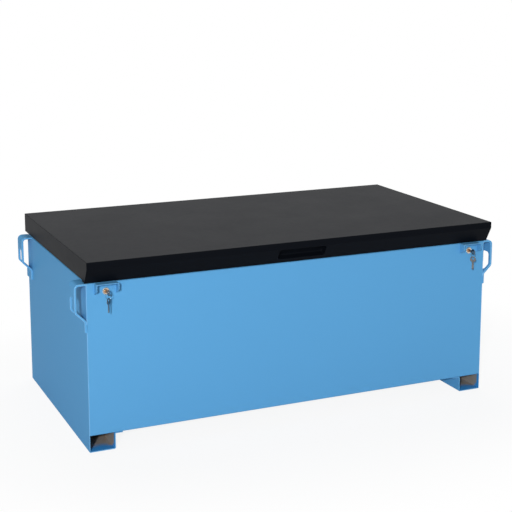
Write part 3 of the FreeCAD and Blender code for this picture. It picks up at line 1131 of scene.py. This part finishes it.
@dataclass
class Lock:
    """A keyed cam lock with a key in it and a second key on its ring."""

    workshop: Workshop
    side: Side
    axis: Vector
    bezel: float = 11.5 * MM
    chamfer: float = 1.2 * MM
    chamfer_bulge: float = 0.4 * MM
    flange: float = 4 * MM
    groove: tuple[float, ...] = (2 * MM, 2.3 * MM, 2.7 * MM, 3 * MM)
    groove_depth: float = 0.4 * MM
    barrel: float = 9 * MM
    bore: float = 6.05 * MM
    plug: float = 6 * MM
    plug_round: tuple[Point, ...] = ((1 * MM, 0.0), (0.3 * MM, 0.15 * MM), (0.0, 0.7 * MM))
    plug_steps: int = 36
    tail: float = 4 * MM
    tail_radius: float = 3.4 * MM
    key_soft: float = 0.3 * MM
    bow: float = 10 * MM
    bow_hole: float = 3.6 * MM
    bow_steps: int = 28
    half_neck: float = 4.5 * MM
    shoulder_gap: float = 0.2 * MM
    half_blade: float = 3.75 * MM
    ring_wire: float = 0.42 * MM
    ring_gap: float = 0.38 * MM
    ring_steps: int = 40
    wire_steps: int = 10
    spare_bow: float = 11 * MM
    spare_hole: float = 4.6 * MM
    spare_hole_inset: float = 6.8 * MM
    spare_thick: float = 2.2 * MM
    spare_turn: float = math.radians(45)
    spare_tip: float = 5 * MM
    tooth_depths: tuple[float, ...] = (0.9 * MM, 1.5 * MM) * 3
    tooth_shape: Point = (0.4, 0.9)

    def build(self) -> None:
        """Make the barrel, plug, keys and ring."""
        word = self.side.value + "_"
        bezel = self.barrel_mesh()
        self.workshop.finish(word + "lock_bezel", bezel, "box", Dress.NICKEL, word + "lock_barrel")
        moving = (
            ("lock_core", self.plug_mesh(), "lock", Dress.BRASS, "lock_plug"),
            ("door_key", self.key_mesh(), "lock", Dress.KEY, "key"),
            ("split_ring", self.ring_mesh(), "ring", Dress.KEY, "key_ring"),
            ("hanging_key", sided(self.spare_mesh(), self.side), "spare", Dress.KEY, "spare_key"),
        )
        for name, mesh, body, dress, node in moving:
            self.workshop.finish(word + name, mesh, word + body, dress, word + node)

    def barrel_mesh(self) -> Mesh:
        """Turn the barrel with its grooved and chamfered bezel.

        Returns:
            The barrel.
        """
        low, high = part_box(self.side.value + "_lock_barrel")
        length = high.y - low.y
        depth = self.groove_depth
        profile = [(self.bore, depth), (self.bore + depth, 0.0)]
        profile += [(self.plug + out, at) for out, at in zip(self.groove, (0.0, depth, depth, 0.0))]
        profile += [
            (self.bezel - self.chamfer, 0.0),
            (self.bezel - self.chamfer_bulge, self.chamfer_bulge),
            (self.bezel, self.chamfer),
            (self.bezel, self.flange),
            (self.barrel, self.flange),
            (self.barrel, length),
            (self.bore, length),
            (self.bore, depth),
        ]
        return turned(profile, Vector((self.axis.x, low.y, self.axis.z)), BACK)

    def plug_mesh(self) -> Mesh:
        """Turn the plug that the key fits.

        Returns:
            The plug.
        """
        low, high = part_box(self.side.value + "_lock_plug")
        length = high.y - low.y
        neck = length - self.tail
        profile = [(0.0, 0.0), *((self.plug - inset, at) for inset, at in self.plug_round)]
        profile += [(self.plug, neck), (self.tail_radius, neck)]
        profile += [(self.tail_radius, length), (0.0, length)]
        return turned(profile, Vector((self.axis.x, low.y, self.axis.z)), BACK, self.plug_steps)

    def bow_edge(self, radius: float, half_neck: float) -> list[Point]:
        """Draw the round edge of a key's bow about 0, from one side of its neck to the other.

        Args:
            radius: The bow's radius.
            half_neck: Half the width of the neck, which leaves along the first coordinate.

        Returns:
            The points of the arc.
        """
        gap = math.asin(half_neck / radius)
        sweep = math.tau - 2 * gap
        angles = [gap + sweep * i / self.bow_steps for i in range(self.bow_steps + 1)]
        return on_circle(radius, angles)

    def key_mesh(self) -> Mesh:
        """Cut the key in the lock: a round bow with a hole, shoulders and a blade.

        Returns:
            The key.
        """
        low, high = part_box(self.side.value + "_key")
        middle = low.y + self.bow
        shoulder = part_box(self.side.value + "_lock_plug")[0].y - self.shoulder_gap - middle
        half = self.half_blade
        outline = self.bow_edge(self.bow, self.half_neck)
        outline += [(shoulder, -self.half_neck), (shoulder, -half), (high.y - middle, -half)]
        outline += [(high.y - middle, half), (shoulder, half), (shoulder, self.half_neck)]
        blank = Blank(outline).hole((0.0, 0.0), self.bow_hole)
        blank.thicken(Stock(high.x - low.x, self.key_soft))
        return blank.put(lambda a, b, depth: Vector((low.x + depth, middle + a, self.axis.z + b)))

    def ring_mesh(self) -> Mesh:
        """Wind the split ring as two turns of wire side by side.

        Returns:
            The ring.
        """
        low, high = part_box(self.side.value + "_key_ring")
        radius = (high.x - low.x) / 2 - self.ring_gap - self.ring_wire
        angles = [math.tau * i / self.wire_steps for i in range(self.wire_steps + 1)]
        wire = on_circle(self.ring_wire, angles)
        turns = []
        for shift in (-self.ring_gap, self.ring_gap):
            profile = [(radius + out, shift + along) for out, along in wire]
            turns.append(turned(profile, (low + high) / 2, BACK, self.ring_steps))
        return joined(turns)

    def spare_mesh(self) -> Mesh:
        """Cut the right-hand hanging key, turned half to the front, with the notches of its blade.

        Returns:
            The key.
        """
        low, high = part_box("right_spare_key")
        bow_z = high.z - self.spare_bow
        # The first flat coordinate runs down from the bow's centre
        reach = bow_z - low.z
        half = self.half_blade
        outline = self.bow_edge(self.spare_bow, half)
        outline += [(reach - half, -half), (reach, 0.0), (reach - half, half)]
        tip = reach - self.spare_tip
        pitch = (tip - self.spare_bow) / len(self.tooth_depths)
        for i, depth in enumerate(self.tooth_depths):
            deep, flush = (tip - pitch * (i + share) for share in self.tooth_shape)
            outline += [(deep, half - depth), (flush, half)]
        blank = Blank(outline).hole((self.spare_hole_inset - self.spare_bow, 0.0), self.spare_hole)
        blank.thicken(Stock(self.spare_thick, self.key_soft))
        across = Vector((math.sin(self.spare_turn), -math.cos(self.spare_turn), 0.0))
        facing = Vector((math.cos(self.spare_turn), math.sin(self.spare_turn), 0.0))
        middle = (low + high) / 2
        hang = Vector((middle.x, middle.y, bow_z)) - facing * (self.spare_thick / 2)
        down = Vector((0.0, 0.0, -1.0))
        return blank.put(lambda a, b, depth: hang + across * b + facing * depth + down * a)


@dataclass
class Lid:
    """The folded lid: skin, end plates, finger pocket, rails, ribs and the seal it closes on."""

    workshop: Workshop
    skin_stock: Stock = Stock(2 * MM, soft=0.5 * MM, bend=2 * MM)
    rail_stock: Stock = Stock(2 * MM, soft=0.5 * MM, bend=1 * MM)
    rib_stock: Stock = Stock(1.5 * MM, soft=0.5 * MM, bend=2 * MM)
    front_band: float = 22 * MM
    lip_inset: float = 30 * MM
    lip_return: float = 37 * MM
    rear_gap: float = 7 * MM
    end_soft: float = 0.95 * MM
    end_corner: float = 2.5 * MM
    end_overlap: float = 1 * MM
    end_foot: float = 26 * MM
    ledge_width: float = 12 * MM
    ledge_rise: float = 6 * MM
    rib_flange: float = 20 * MM
    pocket_length: float = 176 * MM
    pocket_corner: float = 8 * MM
    pocket_low: float = 15 * MM
    pocket_high: float = 57 * MM
    pocket_wall: float = 1.5 * MM
    pocket_collar: float = 10 * MM
    pocket_depth: float = 20 * MM
    pocket_round: float = 5 * MM
    pocket_steps: int = 4
    seal_width: float = 12 * MM
    seal_corner: float = 4 * MM
    seal_soft: float = 1.1 * MM

    def build(self) -> None:
        """Make every piece of the lid."""
        self.skin()
        for side in Side:
            self.end(side)
            self.rail(side)
            self.rib(side)
        self.rear_rail()
        self.pocket()
        self.seal()

    def corners(self) -> list[Point]:
        """Draw the lid's outer profile.

        Returns:
            Its corners, from the rear edge over the top to the front lip.
        """
        low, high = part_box("lid_skin")
        lip = low.y + self.lip_inset
        return [
            (high.y, low.z + self.rear_gap),
            (high.y, high.z),
            (low.y, high.z),
            (low.y, high.z - self.front_band),
            (lip, low.z),
            (lip + self.lip_return, low.z),
        ]

    def band(self) -> tuple[Vector, Vector]:
        """Give the upper and the lower corner of the sloping front band."""
        *_, nose, lip, _ = self.corners()
        return Vector(nose), Vector(lip)

    def skin(self) -> None:
        """Fold the lid's skin and pierce it for the finger pocket."""
        low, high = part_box("lid_skin")
        path = FoldPath(self.corners(), self.skin_stock, FoldPlane.YZ)
        nose, lip = self.band()
        up = (nose - lip).normalized()
        heights = [(lip + up * at).y for at in (self.pocket_high, self.pocket_low)]
        upper, lower = (path.find(leg=3, height=height) for height in heights)
        half = self.pocket_length / 2
        blank = Blank.along(path, low.x, high.x)
        blank.slot((upper, -half), (lower, half), self.pocket_corner)
        self.workshop.finish("lid_folded_skin", blank.fold(path), "lid", Dress.BLACK, "lid_skin")

    def end(self, side: Side) -> None:
        """Cut an end plate to the lid's profile.

        Args:
            side: Which end of the box.
        """
        low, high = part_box("right_lid_end")
        rear, top, crown, nose, lip, _ = self.corners()
        lower = rear[1] - self.end_overlap
        outline = [lip, nose, crown, top, (rear[0], lower), (lip[0] + self.end_foot, lower)]
        stock = Stock(high.x - low.x, self.end_soft, soft_steps=3)
        blank = Blank(outline, self.end_corner).thicken(stock)
        mesh = blank.put(lambda a, b, depth: Vector((low.x + depth, a, b)))
        node = side.value + "_lid_end"
        self.workshop.finish(node + "_plate", sided(mesh, side), "lid", Dress.BLACK, node)

    def rail(self, side: Side) -> None:
        """Fold the stepped rail that presses on the end seal.

        Args:
            side: Which end of the box.
        """
        low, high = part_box("right_lid_rail")
        step_x = high.x - self.ledge_width
        step_z = low.z + self.ledge_rise
        corners = [(low.x, low.z), (step_x, low.z), (step_x, step_z)]
        corners += [(high.x, step_z), (high.x, high.z)]
        path = FoldPath(corners, self.rail_stock, FoldPlane.XZ)
        mesh = Blank.along(path, low.y, high.y).fold(path)
        node = side.value + "_lid_rail"
        self.workshop.finish(node + "_fold", sided(mesh, side), "lid", Dress.BLACK, node)

    def rib(self, side: Side) -> None:
        """Fold a hat-shaped rib.

        Args:
            side: Which end of the box.
        """
        low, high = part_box("right_lid_rib")
        outer, inner = high.x - self.rib_flange, low.x + self.rib_flange
        crown = low.z + self.rib_stock.thickness
        corners = [(high.x, high.z), (outer, high.z), (outer, crown)]
        corners += [(inner, crown), (inner, high.z), (low.x, high.z)]
        path = FoldPath(corners, self.rib_stock, FoldPlane.XZ)
        mesh = Blank.along(path, low.y, high.y).fold(path)
        node = side.value + "_lid_rib"
        self.workshop.finish(node + "_hat", sided(mesh, side), "lid", Dress.BLACK, node)

    def rear_rail(self) -> None:
        """Fold the rear rail."""
        low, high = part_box("lid_rear_rail")
        corners = [(low.y, high.z), (low.y, low.z), (high.y, low.z)]
        path = FoldPath(corners, self.skin_stock, FoldPlane.YZ)
        mesh = Blank.along(path, low.x, high.x).fold(path)
        self.workshop.finish("lid_rear_angle", mesh, "lid", Dress.BLACK, "lid_rear_rail")

    def pocket(self) -> None:
        """Press the finger pocket: a collar behind the skin and a rounded cup."""
        nose, lip = self.band()
        half = self.pocket_length / 2
        outer = half + self.pocket_collar
        wall = self.pocket_wall
        collar = rectangle((-outer, self.pocket_low - wall), (outer, self.pocket_high + wall))
        blank = Blank(collar, self.pocket_corner)
        blank.slot((-half, self.pocket_low), (half, self.pocket_high), self.pocket_corner)
        mesh = blank.mesh
        # The smaller face is the cup's mouth, and its edges are drawn down into walls
        cup = min(mesh.faces, key=lambda face: face.calc_area())
        sunk = vertices_of(bmesh.ops.extrude_edge_only(mesh, edges=list(cup.edges))["geom"])
        bmesh.ops.translate(mesh, verts=sunk, vec=(0.0, 0.0, -self.pocket_depth))
        # Only the collar round the mouth and the cup's base are filled again
        level_faces = [face for face in mesh.faces if abs(face.normal.z) > FACING]
        flat = [face for face in level_faces if face.calc_center_median().z > -wall]
        bmesh.ops.delete(mesh, geom=flat, context="FACES_ONLY")
        level = [edge for edge in mesh.edges if all(vertex.co.z > -wall for vertex in edge.verts)]
        bmesh.ops.triangle_fill(mesh, use_beauty=True, use_dissolve=False, edges=level)
        base = [edge for edge in mesh.edges if all(vertex in sunk for vertex in edge.verts)]
        bmesh.ops.contextual_create(mesh, geom=base)
        rounded(mesh, base, Affect.EDGES, self.pocket_round, self.pocket_steps)
        bmesh.ops.recalc_face_normals(mesh, faces=mesh.faces[:])
        run = nose - lip
        slope = Matrix.Rotation(math.atan2(run.y, run.x), 4, "X")
        behind = Matrix.Translation((0.0, 0.0, -self.skin_stock.thickness))
        place = Matrix.Translation((0.0, *lip)) @ slope @ behind
        bmesh.ops.transform(mesh, matrix=place, verts=mesh.verts[:])
        bmesh.ops.solidify(mesh, geom=mesh.faces[:], thickness=wall)
        bmesh.ops.recalc_face_normals(mesh, faces=mesh.faces[:])
        self.workshop.finish("lid_pocket_cup", mesh, "lid", Dress.BLACK, "lid_finger_pocket")

    def seal(self) -> None:
        """Lay the rubber strip round the rim."""
        low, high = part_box("rim_seal")
        width = self.seal_width
        blank = Blank(rectangle((low.x, low.y), (high.x, high.y)), self.seal_corner)
        start, stop = (low.x + width, low.y + width), (high.x - width, high.y - width)
        blank.slot(start, stop, self.seal_corner)
        blank.thicken(Stock(high.z - low.z, self.seal_soft, soft_steps=3))
        mesh = blank.put(lambda a, b, depth: Vector((a, b, low.z + depth)))
        self.workshop.finish("rim_seal_strip", mesh, "box", Dress.RUBBER, "rim_seal")


@dataclass
class Hinge:
    """The continuous hinge: two leaves with alternate knuckles, and the rivets."""

    workshop: Workshop
    axis: Vector
    knuckle_count: int = 21
    knuckle: float = 5.5 * MM
    knuckle_bore: float = 3.05 * MM
    knuckle_gap: float = 0.6 * MM
    knuckle_steps: int = 28
    leaf_stock: Stock = Stock(2 * MM, soft=0.3 * MM)
    leaf_gap: float = 0.5 * MM
    rivet_count: int = 8
    rivet_margin: float = 70 * MM
    rivet_drop: float = 24 * MM
    rivet_hole: float = 1.9 * MM
    rivet_hole_steps: int = 12
    rivet_head: float = 4.2 * MM
    rivet_rise: float = 2.2 * MM
    rivet_dome: tuple[float, ...] = (0.35, 0.6, 0.8, 0.93)
    rivet_head_steps: int = 20
    rivet_tail: float = 0.8
    rivet_tail_steps: int = 16
    chest_sheet: float = 2 * MM

    def rivets(self) -> list[Hole]:
        """Set out the row of rivets.

        Returns:
            The hole of each rivet.
        """
        low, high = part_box("hinge_pin")
        first = low.x + self.rivet_margin
        pitch = (high.x - low.x - 2 * self.rivet_margin) / (self.rivet_count - 1)
        height = self.axis.z - self.rivet_drop
        points = [Vector((first + pitch * i, self.axis.y, height)) for i in range(self.rivet_count)]
        return [Hole(point, self.rivet_hole, self.rivet_hole_steps) for point in points]

    def build(self) -> None:
        """Make both leaves and the rivets."""
        for leaf in Leaf:
            self.leaf(leaf)
        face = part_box("rear_panel")[1].y
        dome = [(0.0, self.rivet_rise)]
        for share in self.rivet_dome:
            dome.append((self.rivet_head * share, self.rivet_rise * math.sqrt(1 - share**2)))
        dome += [(self.rivet_head, 0.0), (0.0, 0.0)]
        tail = [(radius * self.rivet_tail, along) for radius, along in dome]
        heads = []
        for rivet in self.rivets():
            outside = Vector((rivet.point.x, face + self.leaf_stock.thickness, rivet.point.z))
            inside = Vector((rivet.point.x, face - self.chest_sheet, rivet.point.z))
            heads.append(turned(dome, outside, BACK, self.rivet_head_steps))
            heads.append(turned(tail, inside, -BACK, self.rivet_tail_steps))
        self.workshop.finish("hinge_rivet_heads", joined(heads), "box", Dress.ZINC, "hinge_rivets")

    def leaf(self, leaf: Leaf) -> None:
        """Make one leaf: a plate with tongues, and a rolled knuckle on each tongue.

        Args:
            leaf: Which leaf.
        """
        name = f"hinge_{leaf.name.lower()}"
        low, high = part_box(name + "_leaf")
        pin_low, pin_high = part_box("hinge_pin")
        pitch = (pin_high.x - pin_low.x) / self.knuckle_count
        thickness = self.leaf_stock.thickness
        reach = self.knuckle + self.leaf_gap
        if leaf is Leaf.BODY:
            first, edge, far = 0, self.axis.z - reach, low.z
            inner, holes = low.y, self.rivets()
        else:
            first, edge, far = 1, self.axis.z + reach, high.z
            inner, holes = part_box("lid_skin")[1].y - 2 * thickness, []
        outline = [(pin_low.x, far), (pin_low.x, edge)]
        knuckles = []
        for i in range(first, self.knuckle_count, len(Leaf)):
            start = pin_low.x + pitch * i + self.knuckle_gap / 2
            stop = start + pitch - self.knuckle_gap
            outline += [(start, edge), (start, self.axis.z), (stop, self.axis.z), (stop, edge)]
            knuckles.append(self.knuckle_mesh(start, stop - start))
        outline += [(pin_high.x, edge), (pin_high.x, far)]
        blank = Blank(outline)
        for hole in holes:
            blank.hole((hole.point.x, hole.point.z), hole.radius, hole.steps)
        blank.thicken(self.leaf_stock)
        plate = blank.put(lambda a, b, depth: Vector((a, inner + depth, b)))
        whole = joined([plate, *knuckles])
        self.workshop.finish(name + "_plate", whole, leaf.value, Dress.ZINC, name + "_leaf")

    def knuckle_mesh(self, start: float, length: float) -> Mesh:
        """Turn one knuckle.

        Args:
            start: Where it starts along the hinge.
            length: Its length.

        Returns:
            The knuckle.
        """
        soft = self.leaf_stock.soft
        profile = [
            (self.knuckle_bore, 0.0),
            (self.knuckle - soft, 0.0),
            (self.knuckle, soft),
            (self.knuckle, length - soft),
            (self.knuckle - soft, length),
            (self.knuckle_bore, length),
            (self.knuckle_bore, 0.0),
        ]
        origin = Vector((start, self.axis.y, self.axis.z))
        return turned(profile, origin, ACROSS, self.knuckle_steps)


@dataclass
class Prop:
    """The rod that holds the lid open."""

    workshop: Workshop
    pivot: Vector
    radius: float = 4 * MM
    ball: float = 9 * MM
    pin_chamfer: float = 0.6 * MM
    steps: int = 28
    elbow_rings: int = 16
    ball_steps: int = 32
    ball_rings: int = 20

    def build(self) -> None:
        """Make the rod: a straight arm, a ball at its end and a cranked pin in the bracket."""
        low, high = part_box("prop_rod")
        radius = self.radius
        length = self.pivot.y - low.y - self.ball
        bar = [(0.0, 0.0), (radius, 0.0), (radius, length), (0.0, length)]
        arm = turned(bar, self.pivot, -BACK, self.steps)
        tip = high.x - self.pivot.x
        pin_bar = [(0.0, 0.0), (radius, 0.0), (radius, tip - self.pin_chamfer)]
        pin_bar += [(radius - self.pin_chamfer, tip), (0.0, tip)]
        pin = turned(pin_bar, self.pivot, ACROSS, self.steps)
        elbow = self.sphere(self.pivot, radius, self.steps, self.elbow_rings)
        knob = self.sphere(self.pivot - BACK * length, self.ball, self.ball_steps, self.ball_rings)
        rod = joined([arm, pin, elbow, knob])
        self.workshop.finish("prop_rod_bar", rod, "prop", Dress.ZINC, "prop_rod")

    @staticmethod
    def sphere(middle: Vector, radius: float, steps: int, rings: int) -> Mesh:
        """Make a ball.

        Args:
            middle: Its centre.
            radius: Its radius.
            steps: Number of faces round it.
            rings: Number of faces from pole to pole.

        Returns:
            The ball.
        """
        mesh = bmesh.new()
        place = Matrix.Translation(middle)
        bmesh.ops.create_uvsphere(
            mesh, u_segments=steps, v_segments=rings, radius=radius, matrix=place
        )
        return mesh


@dataclass(frozen=True)
class Lamp:
    """A soft square lamp that faces the box, with its side in metres and its power in watts."""

    name: str
    place: Triple
    size: float
    power: float

    def hang(self, target: Triple) -> None:
        """Hang the lamp.

        Args:
            target: The point that it faces.
        """
        data = bpy.data.lights.new(self.name, "AREA")
        data.size = self.size
        data.energy = self.power
        lamp = in_scene(self.name, data)
        lamp.location = self.place
        aim = Vector(target) - Vector(self.place)
        lamp.rotation_euler = aim.to_track_quat("-Z", "Y").to_euler()


@dataclass(frozen=True)
class Studio:
    """The pale floor, the soft lamps and the camera at the photograph's angle."""

    focal_pixels: float = 1193.75
    image_width: float = 512.0
    sensor: float = 36.0
    shift: float = -0.15
    yaw: float = math.radians(23.867)
    pitch: float = math.radians(10.05)
    eye: Triple = (-1.737, -3.942, 1.5495)
    lamps: tuple[Lamp, ...] = (
        Lamp("key_light", place=(-4.4, -7.2, 3.2), size=0.6, power=605.0),
        Lamp("fill_light", place=(4.5, -3.2, 2.6), size=3.0, power=24.0),
        Lamp("rear_light", place=(0.6, 2.6, 5.0), size=4.0, power=150.0),
    )
    target: Triple = (0.0, 0.0, 0.35)
    room_colour: Triple = (0.94, 0.97, 1.0)
    room_light: float = 0.2
    floor_size: float = 30.0
    floor_grey: float = 0.88
    floor_glow: float = 0.89
    glow_reach: Point = (0.48, 1.6)
    glow_depth: float = 0.5

    def build(self) -> None:
        """Set up the whole studio."""
        self.camera()
        self.world()
        self.floor()
        for lamp in self.lamps:
            lamp.hang(self.target)
        bpy.context.scene.view_settings.view_transform = "Standard"

    def camera(self) -> None:
        """Stand the camera where the photograph was taken."""
        data = bpy.data.cameras.new("photo_camera")
        data.sensor_width = self.sensor
        data.lens = self.focal_pixels * self.sensor / self.image_width
        data.shift_y = self.shift
        camera = in_scene("photo_camera", data)
        camera.location = self.eye
        camera.rotation_euler = (math.pi / 2 - self.pitch, 0.0, -self.yaw)
        bpy.context.scene.camera = camera

    def world(self) -> None:
        """Light the room evenly and show it white to the camera and to reflections."""
        world = bpy.data.worlds.new("studio")
        bpy.context.scene.world = world
        shader = Shader(world, "ShaderNodeOutputWorld")
        room = {"Color": (*self.room_colour, 1.0), "Strength": self.room_light}
        ambient = shader.add("ShaderNodeBackground", {}, room)
        white = shader.add("ShaderNodeBackground", {}, {"Color": WHITE, "Strength": 1.0})
        views = {0: shader.seen(), 1: ambient.outputs[0], 2: white.outputs[0]}
        shader.show(shader.add("ShaderNodeMixShader", {}, views))

    def floor(self) -> None:
        """Lay a wide white floor that still takes the box's shadow."""
        mesh = bmesh.new()
        bmesh.ops.create_grid(mesh, x_segments=1, y_segments=1, size=self.floor_size)
        data = bpy.data.meshes.new("studio_floor")
        mesh.to_mesh(data)
        mesh.free()
        shader = Shader(bpy.data.materials.new("studio_floor"))
        grey = (self.floor_grey, self.floor_grey, self.floor_grey, 1.0)
        matt = shader.add("ShaderNodeBsdfDiffuse", {}, {"Color": grey})
        glow = shader.add("ShaderNodeEmission", {}, {"Color": WHITE, "Strength": 1.0})
        # Round the box the floor takes some shadow, and further off it is shown white
        across, along, _ = shader.axes()
        far = (across * across * self.glow_depth + along * along).between(*self.glow_reach)
        shown = shader.seen() * (self.floor_glow + far * (1.0 - self.floor_glow))
        views = {0: shown, 1: matt.outputs[0], 2: glow.outputs[0]}
        shader.show(shader.add("ShaderNodeMixShader", {}, views))
        data.materials.append(shader.owner)
        in_scene("studio_floor", data)


def make_finishes() -> dict[str, Material]:
    """Make every finish of the box.

    Returns:
        The materials by their short names.
    """
    low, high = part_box("right_end_panel")
    finishes = {
        "blue": PowderCoat(
            "blue_powder_coat",
            colour=(0.1, 0.325, 0.59),
            shade=(0.096, 0.316, 0.578),
            roughness=0.3,
            specular=0.003,
            peel=Pattern(500.0),
            peel_depth=0.012 * MM,
        ),
        # The rounded edges are painted a lighter blue as a painted highlight, and are also glossier
        # than the faces
        "blue_edge": PowderCoat(
            "blue_edge_painted_highlight",
            colour=(0.19, 0.45, 0.74),
            shade=(0.16, 0.41, 0.69),
            roughness=0.25,
            specular=0.4,
            peel=Pattern(500.0),
            peel_depth=0.012 * MM,
        ),
        "black": PowderCoat(
            "black_powder_coat",
            colour=(0.0033, 0.0042, 0.0064),
            shade=(0.0028, 0.0036, 0.0055),
            roughness=0.44,
            specular=0.026,
            peel=Pattern(1100.0),
            peel_depth=0.01 * MM,
        ),
        "bare": BareSteel(
            "bare_mill_steel",
            colour=(0.30, 0.28, 0.26),
            rust=(0.32, 0.25, 0.19),
            overspray=(0.03, 0.25, 0.6),
            middle=(high.x - SKID_WIDTH / 2, (low.y + high.y) / 2),
            half_depth=(high.y - low.y) / 2,
            half_width=SKID_WIDTH / 2,
        ),
        "zinc": PlatedMetal(
            "zinc_plate",
            colour=(0.62, 0.63, 0.64),
            tarnish=(0.45, 0.45, 0.43),
            roughness=0.36,
            lines=Pattern(400.0, 3.0, (0.1, 1.0, 1.0)),
            line_depth=0.01 * MM,
        ),
        "nickel": PlatedMetal(
            "nickel_plate", colour=(0.66, 0.60, 0.53), tarnish=(0.50, 0.43, 0.36), roughness=0.2
        ),
        # The keys' dark colour is a painted reflection of dark surroundings on polished metal
        "key": PlatedMetal(
            "key_metal_painted_dark_reflection", colour=(0.13, 0.15, 0.17), tarnish=(0.32, 0.28, 0.24), roughness=0.2
        ),
        "brass": PlatedMetal(
            "plug_brass", colour=(0.62, 0.32, 0.15), tarnish=(0.45, 0.22, 0.11), roughness=0.26
        ),
        "rubber": FoamRubber("seal_foam", colour=(0.016, 0.016, 0.017), dust=(0.07, 0.07, 0.07)),
    }
    return {name: finish.build() for name, finish in finishes.items()}


def main() -> None:
    """Dress the box and set it in the studio."""
    logging.basicConfig(level=logging.INFO, format="%(message)s")
    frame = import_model()
    workshop = Workshop(make_finishes())
    joints = frame["record"]["behaviour"]["joints"]
    pivots = {joint["name"]: Vector(joint["pos_m"]) for joint in joints}
    locks = {side: pivots[side.value + "_lock_turn"] for side in Side}
    hinge = Hinge(workshop, pivots["lid_hinge"])
    Chest(workshop, list(locks.values()), hinge.rivets()).build()
    for side in Side:
        for wall in Wall:
            Handle(workshop, side, wall).build()
        LockHood(workshop, side).build()
        Lock(workshop, side, locks[side]).build()
    Lid(workshop).build()
    hinge.build()
    Prop(workshop, pivots["prop_swing"]).build()
    workshop.dress(frame, ["floor_panel"], "blue")
    plated = ["hinge_pin", "prop_rest", "prop_push_nut", "prop_bracket", "prop_clip"]
    endings = ("_lock_keeper", "_lock_nut", "_lock_cam", "_cam_screw")
    plated += [side.value + ending for side in Side for ending in endings]
    workshop.dress(frame, plated, "zinc")
    Studio().build()


if __name__ == "__main__":
    main()
